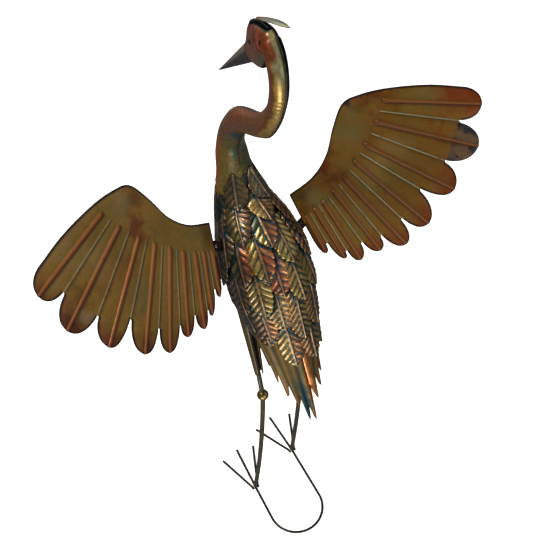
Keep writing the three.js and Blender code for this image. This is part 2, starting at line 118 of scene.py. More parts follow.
def sample(arc, values, at):
    values = np.asarray(values, float)
    if values.ndim == 1:
        return np.interp(at, arc, values)
    return np.stack([np.interp(at, arc, values[:, k]) for k in range(values.shape[1])], -1)


def unit(a):
    return a / np.maximum(np.linalg.norm(a, axis=-1, keepdims=True), 1e-12)


def ringAngles(count):
    return np.linspace(0, 2 * math.pi, count, endpoint=False)


def gridFaces(rows, columns, first, wrap):
    faces = []
    for i in range(rows - 1):
        for j in range(columns if wrap else columns - 1):
            k = (j + 1) % columns
            a, b = first + i * columns, first + (i + 1) * columns
            faces.append((a + j, a + k, b + k, b + j))
    return faces


def addObject(name, data):
    made = bpy.data.objects.new(name, data)
    bpy.context.scene.collection.objects.link(made)
    return made


def makePiece(name, points, faces, material, stands=(), fields=None, smooth=True):
    mesh = bpy.data.meshes.new(name)
    mesh.from_pydata(((points + offset) / 1000).tolist(), [], faces)
    for key, values in (fields or {}).items():
        if values.ndim == 2:
            layer = mesh.attributes.new(key, "FLOAT_COLOR", "POINT")
            rgba = np.hstack([values, np.ones((len(values), 1))])
            layer.data.foreach_set("color", rgba.astype(np.float32).ravel())
        else:
            layer = mesh.attributes.new(key, "FLOAT", "POINT")
            layer.data.foreach_set("value", values.astype(np.float32))
    mesh.polygons.foreach_set("use_smooth", [smooth] * len(mesh.polygons))
    mesh.update()
    mesh.materials.append(material)
    piece = addObject(name, mesh)
    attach(piece, "root")
    if stands:
        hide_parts(*stands)
    return piece


def joinSheets(sheets):
    # several grids of points, each with its fields, as one set of points and faces
    points, faces, fields, first = [], [], {}, 0
    for sheet in sheets:
        grid = sheet["points"]
        rows, columns = grid.shape[:2]
        towards = np.broadcast_to(sheet["outward"], grid.shape)[:-1, :-1]
        turned = np.cross(grid[:-1, 1:] - grid[:-1, :-1], grid[1:, :-1] - grid[:-1, :-1])
        outside = (turned * towards).sum() > 0
        made = gridFaces(rows, columns, first, sheet.get("wrap", False))
        faces += made if outside else [face[::-1] for face in made]
        for cap in ("start", "end") if sheet.get("closed") else ():
            at = first + (0 if cap == "start" else (rows - 1) * columns)
            face = tuple(at + j for j in range(columns))
            faces.append(face if (cap == "end") == outside else face[::-1])
        points.append(grid.reshape(-1, 3))
        for key, values in sheet.get("fields", {}).items():
            flat = values.reshape(-1, 3) if values.ndim == 3 else values.reshape(-1)
            fields.setdefault(key, []).append(flat)
        first += rows * columns
    return np.vstack(points), faces, {k: np.concatenate(v) for k, v in fields.items()}


def thicken(piece, millimetres):
    sheet = piece.modifiers.new("sheet thickness", "SOLIDIFY")
    sheet.thickness = millimetres / 1000
    sheet.offset = -1  # the metal lies inside the surface that was drawn


def sheetPiece(name, sheets, material, stands=(), thickness=0, smooth=True):
    points, faces, fields = joinSheets(sheets)
    piece = makePiece(name, points, faces, material, stands, fields, smooth)
    if thickness:
        thicken(piece, thickness)
    return piece


def ovalTube(at, up, wide, deep):
    # a closed tube round a line in the middle plane, given how far each point lies to the side and along up
    ring = at[:, None] + up * deep[..., None]
    ring[..., 0] += wide
    return {"points": ring, "outward": ring - at[:, None], "wrap": True, "closed": True}


def tubeSheet(line, radii, sides, guide=(0, 0, 1)):
    # a round bar along a line; radii is one number or one for each point
    line = np.asarray(line, float)
    along = unit(np.gradient(line, axis=0))
    ref = np.broadcast_to(np.array(guide, float), line.shape)
    steep = np.abs((along * ref).sum(-1)) > 0.9
    ref = np.where(steep[:, None], np.array([0, 1.0, 0]), ref)
    across = unit(np.cross(ref, along))
    up = np.cross(along, across)
    angle = ringAngles(sides)
    ring = across[:, None] * np.cos(angle)[None, :, None] + up[:, None] * np.sin(angle)[None, :, None]
    radii = np.broadcast_to(np.asarray(radii, float), len(line))
    points = line[:, None] + ring * radii[:, None, None]
    return {"points": points, "outward": ring, "wrap": True, "closed": True}


# finishes
def addNode(tree, kind, **settings):
    made = tree.nodes.new(kind)
    for key, value in settings.items():
        setattr(made, key, value)
    return made


def noise(tree, place, scale, detail, roughness=0.55):
    made = addNode(tree, "ShaderNodeTexNoise")
    made.inputs["Scale"].default_value = scale
    made.inputs["Detail"].default_value = detail
    made.inputs["Roughness"].default_value = roughness
    tree.links.new(place, made.inputs["Vector"])
    return made.outputs["Fac"]


def spread(tree, value, low, high, toLow, toHigh):
    made = addNode(tree, "ShaderNodeMapRange")
    for key, number in (("From Min", low), ("From Max", high), ("To Min", toLow), ("To Max", toHigh)):
        made.inputs[key].default_value = number
    tree.links.new(value, made.inputs["Value"])
    return made.outputs["Result"]


def calc(tree, kind, a, b=0.0):
    made = addNode(tree, "ShaderNodeMath", operation=kind)
    for socket, value in zip(made.inputs, (a, b)):
        if isinstance(value, (int, float)):
            socket.default_value = value
        else:
            tree.links.new(value, socket)
    return made.outputs[0]


def mixColours(tree, share, a, b):
    made = addNode(tree, "ShaderNodeMix", data_type="RGBA")
    for socket, value in ((made.inputs[0], share), (made.inputs[6], a), (made.inputs[7], b)):
        if isinstance(value, (int, float)):
            socket.default_value = value
        elif isinstance(value, np.ndarray):
            socket.default_value = (*value, 1)
        else:
            tree.links.new(value, socket)
    return made.outputs[2]


def field(tree, name, output="Fac"):
    return addNode(tree, "ShaderNodeAttribute", attribute_name=name).outputs[output]


def overpaint(tree, colour, coats):
    # the same in a material's nodes, with each colour as hex
    for shade, cover in coats:
        colour = mixColours(tree, cover, colour, tone(shade))
    return colour


usualFinish = {  # every lacquer has these unless its own look says otherwise
    "coat": 0.14, "coatRough": 0.25, "shine": 0.35, "dullField": None,
    "cloudScale": 38, "cloudEdge": (0.42, 0.68), "grainScale": 420,
    "glossScale": 90, "glossRange": (0.09, 0.13),
    "specks": 0, "speckScale": 160, "speckGroups": 22, "speckColour": "16202a",
    "bump": 0.25, "bumpDepth": 0.0004, "bumpScale": 260,
}


def lacquer(name, look, ownCoats=None):
    # lacquered metal: paint, mottling, grain, the piece's own coats, dark specks, uneven gloss and fine bumps
    look = {**usualFinish, **look}
    material = bpy.data.materials.new(name)
    material.use_nodes = True
    tree = material.node_tree
    shader = tree.nodes["Principled BSDF"]
    shine = {"Metallic": look["metal"], "Coat Weight": look["coat"], "Specular IOR Level": look["shine"]}
    for socket, value in (*shine.items(), ("Coat Roughness", look["coatRough"])):
        shader.inputs[socket].default_value = value
    if look["dullField"]:  # black and weathered paint loses its shine as this field goes to 1
        dull = field(tree, look["dullField"])
        for socket, full in shine.items():
            tree.links.new(spread(tree, dull, 0, 1, full, 0), shader.inputs[socket])
    place = addNode(tree, "ShaderNodeTexCoord").outputs["Object"]
    paint = tone(look["colour"]) if "colour" in look else field(tree, "paint", "Color")
    cloud = spread(tree, noise(tree, place, look["cloudScale"], 5), *look["cloudEdge"], 0, look["cloud"])
    colour = mixColours(tree, cloud, paint, tone(look["cloudColour"]))
    grain = noise(tree, place, look["grainScale"], 4)
    grained = addNode(tree, "ShaderNodeVectorMath", operation="SCALE")
    tree.links.new(colour, grained.inputs[0])
    shade = spread(tree, grain, 0.35, 0.7, 1 - look["grain"], 1 + look["grain"] * 0.7)
    tree.links.new(shade, grained.inputs["Scale"])
    colour = grained.outputs[0]
    if ownCoats:
        colour = ownCoats(tree, place, colour)
    if look["specks"]:
        cells = addNode(tree, "ShaderNodeTexVoronoi")
        cells.inputs["Scale"].default_value = look["speckScale"]
        tree.links.new(place, cells.inputs["Vector"])
        dot = spread(tree, cells.outputs["Distance"], 0.1, 0.2, 1, 0)
        where = spread(tree, noise(tree, place, look["speckGroups"], 2), 0.55, 0.66, 0, look["specks"])
        colour = mixColours(tree, calc(tree, "MULTIPLY", dot, where), colour, tone(look["speckColour"]))
    tree.links.new(colour, shader.inputs["Base Color"])
    gloss = noise(tree, place, look["glossScale"], 4)
    smooth, rough = look["rough"] - look["glossRange"][0], look["rough"] + look["glossRange"][1]
    tree.links.new(spread(tree, gloss, 0.3, 0.7, smooth, rough), shader.inputs["Roughness"])
    bump = addNode(tree, "ShaderNodeBump")
    bump.inputs["Strength"].default_value = look["bump"]
    bump.inputs["Distance"].default_value = look["bumpDepth"]
    tree.links.new(noise(tree, place, look["bumpScale"], 3), bump.inputs["Height"])
    tree.links.new(bump.outputs["Normal"], shader.inputs["Normal"])
    return material


def finishNode(node, material):
    # a solid of the model that keeps its shape gets a better finish
    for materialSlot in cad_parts[node].material_slots:
        materialSlot.material = material


# camera, floor and light
view = {
    "at": (363.2, 679.0, 1774.9),  # a standing person's eye, behind the bird on its left
    "tilt": 34.11, "turn": 151.69,  # degrees up from straight down, and round
    "lens": 67.15, "sensor": 36,
}
camera = addObject("camera", bpy.data.cameras.new("camera"))
camera.location = Vector((np.array(view["at"]) + offset) / 1000)
camera.rotation_euler = Euler((math.radians(view["tilt"]), 0, math.radians(view["turn"])))
camera.data.lens = view["lens"]
camera.data.sensor_width = view["sensor"]
camera.data.clip_start = 0.05
bpy.context.scene.camera = camera

studio = {
    "world": ("a9adb0", 0.36),
    "floor": "f6f6f4", "floorGlow": 0.82, "floorRough": 0.9, "floorShine": 0.1,
    "floorReach": 7, "coveRadius": 2.5, "wallHeight": 6,  # metres; the floor sweeps up into a wall
    "floorDrop": 0.0004,  # metres, just clear of the wire that stands on it
    "lamps": {  # place in metres, what it points at, size, watts, colour
        "key": ((1.0, -0.1, 2.3), (0, 0, 0.62), 0.5, 38, "fff3e0"),
        "fill": ((-1.5, 0.9, 1.7), (0, 0, 0.6), 1.3, 5, "e6efff"),
        "front": ((0.2, -2.0, 1.6), (0, 0, 0.6), 1.2, 16, "fff6ea"),
        "back": ((-0.25, 2.25, 0.82), (0, 0, 0.52), 0.75, 14, "fff4e2"),
        "bounce": ((0.45, 0.66, 0.22), (0.05, 0.05, 0.95), 0.5, 5.5, "fffaf0"),  # as if thrown up by the floor
    },
}
world = bpy.data.worlds.new("studio")
bpy.context.scene.world = world
world.use_nodes = True
sky = world.node_tree.nodes["Background"]
sky.inputs["Color"].default_value = (*tone(studio["world"][0]), 1)
sky.inputs["Strength"].default_value = studio["world"][1]
for lampName, (spot, target, size, watts, warmth) in studio["lamps"].items():
    lamp = bpy.data.lights.new(lampName, "AREA")
    lamp.size = size
    lamp.energy = watts
    lamp.color = tuple(tone(warmth))
    holder = addObject(lampName, lamp)
    holder.location = spot
    holder.rotation_euler = (Vector(target) - Vector(spot)).to_track_quat("-Z", "Y").to_euler()


def floorPoints():
    # a round floor that curves up into a wall, as a studio sweep does
    reach, cove, wall = studio["floorReach"], studio["coveRadius"], studio["wallHeight"]
    bend = np.linspace(0, math.pi / 2, 13)
    profile = [(0.02, 0)] + [(reach - cove + cove * math.sin(a), cove * (1 - math.cos(a))) for a in bend]
    profile.append((reach, wall))
    around = ringAngles(64)
    drop = studio["floorDrop"]
    return np.array([[(r * math.cos(a), r * math.sin(a), z - drop) for a in around] for r, z in profile])


sweep = floorPoints()
floorMesh = bpy.data.meshes.new("floor")
floorFaces = gridFaces(*sweep.shape[:2], 0, True) + [tuple(reversed(range(sweep.shape[1])))]
floorMesh.from_pydata(sweep.reshape(-1, 3).tolist(), [], floorFaces)
floorMesh.polygons.foreach_set("use_smooth", [True] * len(floorMesh.polygons))
floor = addObject("floor", floorMesh)
floor.visible_diffuse = floor.visible_glossy = floor.visible_shadow = False  # a backdrop, not a light
floorFinish = bpy.data.materials.new("paleFloor")
floorFinish.use_nodes = True
floorShader = floorFinish.node_tree.nodes["Principled BSDF"]
for socket, value in (("Base Color", (*tone(studio["floor"]), 1)), ("Roughness", studio["floorRough"]),
                      ("Specular IOR Level", studio["floorShine"]), ("Emission Color", (1, 1, 1, 1)),
                      ("Emission Strength", studio["floorGlow"])):
    floorShader.inputs[socket].default_value = value
floorMesh.materials.append(floorFinish)
bpy.context.scene.view_settings.view_transform = "Standard"
print("camera, floor and lights placed")

# body: a teardrop along an axis in the middle plane
body = {
    "stations": [  # y, z and half-width
        (-109, 756, 21), (-100, 732, 28), (-84, 704, 37.5), (-60, 680, 48), (-33, 652, 56), (-8, 617, 57.5),
        (16, 580, 51), (40, 543, 43), (64, 504, 36), (90, 465, 30), (121, 423, 25)],
    "depth": 0.96,
}
bodyAxis = smoothLine([(0, y, z) for y, z, _ in body["stations"]])
bodyRadius = smoothValues([(r,) for _, _, r in body["stations"]])[:, 0]
bodyArc = arcOf(bodyAxis)
bodyAlong = unit(np.gradient(bodyAxis, axis=0))


def onBody(distance, angle, lift):
    # a point on the body: millimetres down the axis, radians round from the spine, lift off the skin
    distance, angle, lift = np.broadcast_arrays(*[np.asarray(a, float) for a in (distance, angle, lift)])
    centre, along = sample(bodyArc, bodyAxis, distance), sample(bodyArc, bodyAlong, distance)
    radius = sample(bodyArc, bodyRadius, distance)
    back = np.stack([np.zeros_like(radius), -along[..., 2], along[..., 1]], -1)
    side = np.zeros_like(centre)
    side[..., 0] = 1
    out = (side * ((radius + lift) * np.sin(angle))[..., None]
           + back * ((radius * body["depth"] + lift) * np.cos(angle))[..., None])
    return centre + out, unit(out)


def radiusAt(distance):
    return sample(bodyArc, bodyRadius, distance)


# leaf feathers
leafLook = {
    "width": 35,
    "outline": [(0, 0.78), (0.3, 0.9), (0.58, 1), (0.78, 0.84), (0.91, 0.52), (1, 0.1)],
    "topOutline": [(0, 0.12), (0.22, 0.62), (0.5, 0.98), (0.74, 0.9), (0.9, 0.55), (1, 0.1)],  # first row
    "sheet": 0.8, "liftRoot": 1.0, "liftSlope": 0.096, "crown": 1.1,
    "quill": 1.7, "quillHigh": 1.9,  # half-width and height of the raised quill
    "barbPitch": 9.2, "barbSlope": 0.8, "barbHigh": 1.9, "lobe": 2.3,
    "closeIn": (0.5, 0.45, 0.3, 0, 0.9, 0.95, 0.95),  # for each row, how close its side leaves hug the body
    "sideFrom": (40, 75),  # degrees round, where a leaf begins to be a side leaf and where it is one
    "press": (0.55, 0.6, 0.85, 1, 1, 1, 1),  # for each row, how deep its barbs are pressed
    "softTints": {"olive": 0.5, "dull": 0.65},  # leaves of these tints are pressed more softly
    "stepAlong": 1.0, "columns": 12,
    "tints": {"copper": "b8683a", "red": "a04318", "gold": "b59a45", "olive": "736426", "brown": "7a4424",
              "pale": "c7aa66", "dull": "665535", "slate": "3b3436", "maroon": "56342a", "umber": "43321c",
              "tan": "96703e"},
    # the light colour is a painted highlight laid on the barb ridges
    "light": "e0b478", "patinaAndShadow": "17434e", "deep": "0e1c24", "quillTint": "cf9a68",
    # painted shade: leaves on the bird's left are darkened, that side being turned from the light
    "leftShade": 0.4, "leftFrom": (4, 42),  # the bird's left is darker, between these degrees
}
# for each row, how many mm down the body it starts, then its leaves: degrees round, where the tip is, the tint
# (or tints, left/right of the quill), and for some how much lower they start
featherRows = [
    (3, [(-101, 52, "olive"), (-36, 54, "dull"), (29, 54, "dull"), (94, 72, "olive", 30), (160, 50, "brown"),
         (-166, 50, "olive")]),
    (31, [(-107, 100, "brown"), (-58, 107, "brown"), (-13, 87, "pale/tan"), (34, 105, "olive/maroon"),
          (81, 98, "umber"), (128, 100, "brown"), (180, 98, "copper")]),
    (58, [(-104, 128, "olive"), (-62, 130, "brown"), (1, 117, "olive/copper"), (67, 126, "umber"),
          (112, 126, "gold"), (157, 124, "copper"), (-150, 124, "brown")]),
    (84, [(-130, 150, "copper"), (-92, 152, "gold"), (-54, 148, "brown"), (-18, 140, "gold"),
          (19, 150, "gold/red"), (47, 150, "umber/red"), (86, 152, "maroon"), (135, 150, "copper")]),
    (114, [(-112, 188, "brown"), (-76, 192, "copper"), (-45, 186, "olive"), (-17, 191, "gold/olive"),
           (6, 173, "red"), (34, 198, "pale/gold"), (64, 196, "maroon"), (100, 190, "slate")]),
    (162, [(-96, 236, "olive"), (-66, 244, "gold"), (-36, 240, "brown"), (-8, 249, "tan/olive"),
           (16, 226, "pale/tan"), (40, 239, "brown/copper"), (68, 228, "slate"), (100, 222, "slate")]),
    (211, [(-84, 276, "copper"), (-54, 280, "olive"), (-22, 288, "brown"), (15, 287, "pale/brown"),
           (48, 251, "brown"), (82, 240, "slate")]),
]


def leafHalf(row, share):
    outline = leafLook["topOutline" if row == 0 else "outline"]
    curve = smoothLine([(s, w, 0) for s, w in outline])
    return np.interp(share, curve[:, 0], curve[:, 1]) * leafLook["width"] / 2


def scatter(index, seed):
    # a fixed number between 0 and 1 for each barb
    value = np.sin(np.floor(index) * 12.9898 + seed * 4.1414) * 43758.5453
    return value - np.floor(value)


def coverShade(row, distance, angle):
    # how close a point lies to the edge of a leaf that covers it from the row above
    nearest = np.full(distance.shape, 99.0)
    if row == 0:
        return nearest
    root, leaves = featherRows[row - 1]
    for degrees, tip, _, *lower in leaves:
        start = root + sum(lower)
        turn = (angle - math.radians(degrees) + math.pi) % (2 * math.pi) - math.pi
        x = np.abs(turn) * (radiusAt(distance) + 3)
        share = (distance - start) / (tip - start)
        beside = x - leafHalf(row - 1, np.clip(share, 0, 1))
        below = np.hypot(np.maximum(distance - tip, 0), x)
        nearest = np.minimum(nearest, np.where(share < 1, np.where(share < 0, 99, beside), below))
    return nearest


def leafSheet(row, root, tip, degrees, tint, number):
    look = leafLook
    press = look["press"][row] * look["softTints"].get(tint, 1)
    rows = int((tip - root) / look["stepAlong"]) + 1
    share = np.linspace(0, 1, rows)[:, None]
    distance = root + share * (tip - root)
    half = leafHalf(row, share)
    side = np.linspace(-1, 1, 2 * look["columns"] + 1)[None]
    side = np.sign(side) * np.abs(side) ** 1.2  # columns gather at the quill
    across = side * half
    pitch = look["barbPitch"] * (0.92 + 0.16 * scatter(number, 3))
    inTip = ramp(share, 1.0, 0.9)
    sides = np.sign(side) * 0.5  # the two halves are out of step

    def barbAt(x):
        phase = (distance - np.abs(x) * look["barbSlope"]) / pitch + number * 0.37 + sides * 0.7
        return phase, 1 - np.abs(2 * (phase - np.floor(phase)) - 1) ** 2.4

    def vary(phase, seed):
        return scatter(phase + sides * 40, seed)

    # the lobed edge, then the relief: root to tip lift, crown, barbs and quill
    edgePhase, edgeBarb = barbAt(half)
    reach = look["lobe"] * (0.55 + 0.9 * vary(edgePhase, number)) * inTip * ramp(np.abs(side), 0.35, 1)
    across = across * (1 + reach * (edgeBarb - 0.62) / np.maximum(half, 5))
    phase, barb = barbAt(across)
    outward = ramp(np.abs(side), 0.06, 0.5)
    height = barb * (0.7 + 0.6 * vary(phase, number + 5))
    rounded = 1 - 0.6 * ramp(np.abs(side), 0.8, 1)
    quill = np.sqrt(np.clip(1 - (across / (look["quill"] * (1.1 - 0.5 * share))) ** 2, 0, 1))
    flat = 1 - look["closeIn"][row] * ramp(abs(degrees), *look["sideFrom"])
    lift = (look["liftRoot"] * (0.4 + 0.6 * flat) + look["liftSlope"] * flat * (distance - root) + look["sheet"]
            + look["crown"] * flat * (1 - side**2)
            + look["barbHigh"] * press * (height - 0.5) * outward * rounded * inTip
            + look["quillHigh"] * (0.5 + 0.5 * flat) * quill * (1 - 0.45 * share))
    angle = math.radians(degrees) + across / (radiusAt(distance) + lift)
    points, out = onBody(distance, angle, lift)

    # painted highlight on the barbs, patina in the hollows, painted shadow under the leaves above, and a pale
    # quill that is partly painted highlight
    left, _, right = tint.partition("/")
    metal = blend(tone(look["tints"][right or left]), tone(look["tints"][left]), ramp(across, -1, 1))
    metal = metal * (0.78 + 0.5 * vary(phase, number + 9))[..., None] * (0.55 + 0.45 * look["press"][row])
    # painted highlight: the barb ridges are lightened towards the light colour
    shine = np.clip(height, 0, 1) ** 2 * outward * 0.42 * press
    hollow = np.clip(1.25 * (1 - barb), 0, 1) ** 1.2
    nearQuill = ramp(np.abs(across), look["quill"] * 3.4, look["quill"])
    # painted shadow: near the edge of a covering leaf the leaf darkens towards the teal, which elsewhere is
    # patina in the hollows
    cover = coverShade(row, distance, angle)
    shade = hollow * 0.92 * press + 0.6 * nearQuill + 0.9 * ramp(cover, 9, 1.5) * (1 - 0.35 * barb * outward)
    # the pale quill is partly its own light copper and partly a painted highlight along its top, and it fades
    # in the painted shadow of a covering leaf
    onQuill = np.clip(quill * 1.4, 0, 1) * (0.5 + 0.4 * share) * (1 - 0.8 * ramp(cover, 6, 1))
    paint = coated(metal, [
        (tone(look["light"]), shine),
        (tone(look["patinaAndShadow"]), np.clip(shade, 0, 0.95)),
        # painted shadow: darkest right at the edge of a covering leaf
        (tone(look["deep"]), 0.8 * ramp(cover, 4.5, 0.5)),
        (tone(look["quillTint"]), onQuill)])
    # painted shade: the paint is darkened on the bird's left, the side turned from the light
    dull = look["leftShade"] * ramp(np.degrees(angle), *look["leftFrom"])
    return {"points": points, "outward": out, "fields": {"paint": paint * (1 - dull)[..., None]}}


featherMetal = lacquer("featherCopper", {
    "metal": 0.72, "rough": 0.31, "cloudColour": "1f4248", "cloud": 0.35, "cloudScale": 70,
    "grain": 0.42, "grainScale": 340, "bump": 0.4, "bumpDepth": 0.0006, "coat": 0.06})
number = 0
for row, (root, leaves) in enumerate(featherRows):
    sheets = []
    for degrees, tip, tint, *lower in leaves:
        number += 1
        sheets.append(leafSheet(row, root + sum(lower), tip, degrees, tint, number))
    sheetPiece(f"featherRow{row + 1}", sheets, featherMetal, (f"feather_row_{row + 1}",),
               leafLook["sheet"])
print("body feathers made:", number, "leaves")

# tail
tailLook = {
    "tips": [(-108, 285), (-87, 312), (-65, 333), (-43, 350), (-20, 364), (4, 396), (25, 394), (42, 367),
             (68, 350), (87, 327), (103, 303), (119, 274)],  # degrees round and mm down the body
    "start": 176, "notch": 21, "blunt": 2.2, "ragged": 2.2,
    "sideFold": 10,  # degrees by which it goes on past the last tips
    "pleat": 2.2, "flare": 1.8, "sheet": 0.8, "drop": 1.2,
    "rows": 90, "steps": 9,
    "ground": "6a5328", "edge": "6d3518", "blue": "0b3542", "slate": "2c3538", "copper": "d9935c",
    "dark": "33382e", "rust": "8a4a26",
    "slateFrom": (86, 100), "blueAt": 20, "stripAt": -6,  # degrees round
    "blueFrom": (310, 345), "rustUpTo": (340, 375),  # mm down the body
    "strip": (270, 336), "stripHalf": 4.2, "stripHigh": 2.4, "stripWander": 0.8, "stripSheet": 0.6,
}


def tailColumns():
    # degrees, reach, and 1 for a valley or 0 for a tip, across the tail
    tips, notch, aside = tailLook["tips"], tailLook["notch"], tailLook["sideFold"]
    (firstTurn, firstTip), (lastTurn, lastTip) = tips[0], tips[-1]
    columns = [(firstTurn - aside, firstTip - notch, 1)]
    for (degrees, tip), (nextTurn, nextTip) in zip(tips, tips[1:]):
        columns += [(degrees, tip, 0), ((degrees + nextTurn) / 2, min(tip, nextTip) - notch, 1)]
    return np.array(columns + [(lastTurn, lastTip, 0), (lastTurn + aside, lastTip - notch, 1)], float)


def tailSheet():
    look, columns = tailLook, tailColumns()
    at = np.linspace(0, len(columns) - 1, (len(columns) - 1) * look["steps"] + 1)
    degrees, end, valley = sample(np.arange(len(columns)), columns, at).T
    end = end + look["notch"] * (valley - valley**look["blunt"])
    end = end + look["ragged"] * np.sin(at * 5.1) * np.sin(at * 2.7 + 1) * (1 - np.abs(2 * valley - 1))
    share = np.linspace(0, 1, look["rows"])[:, None]
    distance = look["start"] + share * (end - look["start"])
    fold = look["pleat"] * (0.5 - 0.5 * np.cos(math.pi * valley)) * np.minimum(1, 0.35 + share)
    lift = look["flare"] * share**3 * (1 - valley) - look["drop"] - fold
    points, out = onBody(distance, np.radians(degrees), lift)
    turned, inValley = [np.broadcast_to(values, distance.shape) for values in (degrees, valley)]
    return {"points": points, "outward": out, "fields": {
        "toTip": end - distance, "round": turned, "valley": inValley, "down": distance}}


def tailPaint(tree, place, colour):
    look = tailLook
    wave = noise(tree, place, 60, 4)
    down = field(tree, "down")
    toTip = calc(tree, "ADD", field(tree, "toTip"), spread(tree, wave, 0.3, 0.7, -9, 9))
    turned = calc(tree, "ADD", field(tree, "round"), spread(tree, wave, 0.3, 0.7, -5, 5))

    def stripe(degrees, inner, outer, strength, reach):
        # a stripe down the tail, where reach lets it show
        away = calc(tree, "ABSOLUTE", calc(tree, "SUBTRACT", turned, degrees))
        return calc(tree, "MULTIPLY", spread(tree, away, inner, outer, strength, 0), reach)

    return overpaint(tree, colour, [
        (look["edge"], spread(tree, toTip, 2, 20, 0.8, 0)),
        (look["dark"], spread(tree, field(tree, "valley"), 0.6, 0.95, 0, 0.85)),
        (look["slate"], spread(tree, turned, *look["slateFrom"], 0, 0.8)),
        (look["blue"], stripe(look["blueAt"], 7, 12, 0.9, spread(tree, down, *look["blueFrom"], 0.15, 1))),
        (look["rust"], stripe(look["stripAt"], 6, 10, 0.7, spread(tree, down, *look["rustUpTo"], 1, 0)))])


tailMetal = lacquer("tailLacquer", {
    "colour": tailLook["ground"], "metal": 0.25, "rough": 0.5, "coat": 0.02, "shine": 0.12,
    "cloudColour": "38483e", "cloud": 0.5, "cloudScale": 34, "grain": 0.25, "bump": 0.2, "specks": 0.5},
    tailPaint)
sheetPiece("tail", [tailSheet()], tailMetal, ("tail_feathers",), tailLook["sheet"])


def tailStrip():
    # the bare copper strip hammered onto the middle of the tail
    look = tailLook
    down = np.linspace(*look["strip"], 60)[:, None]
    t = (down - down[0]) / (down[-1] - down[0])
    across = np.linspace(-1, 1, 13)[None]
    wander = look["stripWander"] * np.sin(t * 5 + 0.6)
    half = look["stripHalf"] * ramp(t, 1.02, 0.93) * (0.85 + 0.2 * t)
    edge = np.sqrt(np.clip(1 - across**4, 0, 1))
    dents = 0.3 * np.sin(down * 0.45 + 2 * across) * np.sin(down * 0.17 + 1.7)
    lift = look["flare"] * t**2 - 0.6 + (look["stripHigh"] + dents) * edge
    x = across * half + wander
    points, out = onBody(down, np.radians(look["stripAt"]) + x / radiusAt(down), lift)
    return {"points": points, "outward": out}


stripMetal = lacquer("tailCopper", {
    "colour": tailLook["copper"], "metal": 0.85, "rough": 0.3, "cloudColour": "8a4a20", "cloud": 0.55,
    "cloudScale": 110, "grain": 0.2, "bump": 0.5, "specks": 0.3})
sheetPiece("tailStrip", [tailStrip()], stripMetal, (), tailLook["stripSheet"])

shellMetal = lacquer("innerShell", {
    "colour": "22343a", "metal": 0.6, "rough": 0.45, "cloudColour": "4a3d2a", "cloud": 0.6, "grain": 0.3})
finishNode("body_shell", shellMetal)
print("tail and inner shell finished")

# wings
wingLook = {
    "planes": {
        "left": ((61.8, -60.3, 719.6), (0.7623, 0.0336, 0.6465), (-0.4351, -0.7129, 0.5501)),
        "right": ((-57.2, -61.3, 707.2), (-0.7954, -0.0486, 0.6042), (0.4589, -0.6996, 0.5478))},
    "ribs": [  # root u, v and tip u, v, from the outermost inwards
        (173, 0, 257, -98), (147, -12, 216, -135), (117, -22, 155, -154), (92, -28, 99, -163),
        (67, -32, 58, -162), (45, -35, 28, -143), (25, -35, 0, -133), (10, -34, -13, -116),
        (-6, -33, -25, -92)],
    "notches": [
        (225, -96), (175, -121), (125, -125), (79, -137), (43, -133), (18, -121), (-5, -114), (-15, -87)],
    "edge": [  # the leading edge
        (0.5, 0.8), (38, -5), (72, 2), (105, 21), (135, 33.5), (158, 26), (190, 4.5), (228, -30.5),
        (255.5, -64)],
    "rootLow": (-17, -46), "lastNotch": (-24, -66), "notchDeeper": 4.5, "notchWide": 2.4,
    "tipRound": 0.3, "full": (0.55, 0.62),  # how blunt a feather's tip is, how full its outer and inner side
    "fit": {"left": (1.012, 0, 1.024, 1.4), "right": (1, 0, 1, 0)},  # stretch and shift along u, then along v
    "plate": 1.6, "ribHalf": (2.9, 2.0), "ribHigh": 2.3, "ribEnd": 6.5,
    "grooveHigh": 0.95, "grooveHalf": 0.85, "beadHalf": 1.3, "camber": 0.5, "fold": 0.07, "rows": 54,
    "armHigh": 0.7, "sheet": 1.1, "weld": 0.06, "scratchScale": (30, 30, 420), "rootShade": 0.45,
    "ground": {"left": "8a6828", "right": "6e4d1a"}, "rib": {"left": "864c28", "right": "754a28"},
    "tip": {"left": "652e10", "right": "6a2e0f"}, "tipReach": {"left": 30, "right": 31}, "worn": "652e10",
    "groove": "777c66", "ribShade": "361a0c", "grooveShade": "2a2614", "edgeTone": "0b0d10",
    # the dark brown patch colour used at each wing's root, by the body, is painted shadow
    "warm": "522a08", "rootShadow": "33240a", "cool": "5f5f3a", "red": "6b2f10", "sheen": "8f7844",
    "maroon": "4a1e14", "pale": "86806a", "drip": "14202c",  # the patches' colours
    "bare": "5e4c3c", "bareStain": "2e2a2a", "bareReach": (34, 36), "streak": "4c3a1c", "patchWander": 12,
    "coat": {"left": 0.14, "right": 0.05}, "shine": {"left": 0.35, "right": 0.2},
}


def bezier(a, b, c, d, steps=24):
    t = np.linspace(0, 1, steps)[:, None]
    return (1 - t) ** 3 * a + 3 * (1 - t) ** 2 * t * b + 3 * (1 - t) * t**2 * c + t**3 * d


def wingPoint(side, u, v, n):
    root, out, ahead = [np.array(a) for a in wingLook["planes"][side]]
    stretchU, shiftU, stretchV, shiftV = wingLook["fit"][side]
    u, v = u * stretchU + shiftU, v * stretchV + shiftV
    normal = unit(np.cross(out, ahead))
    if normal[1] < 0:
        normal = -normal
    return root + u[..., None] * out + v[..., None] * ahead + n[..., None] * normal, normal


ribLines = [(np.array(r[:2], float), np.array(r[2:], float)) for r in wingLook["ribs"]]
notchWays = [unit(unit(b - a) + unit(d - c)) for (a, b), (c, d) in zip(ribLines, ribLines[1:])]
wingNotches = [np.array(n) - way * wingLook["notchDeeper"] for n, way in zip(wingLook["notches"], notchWays)]
leadingEdge = plainSpline(wingLook["edge"])


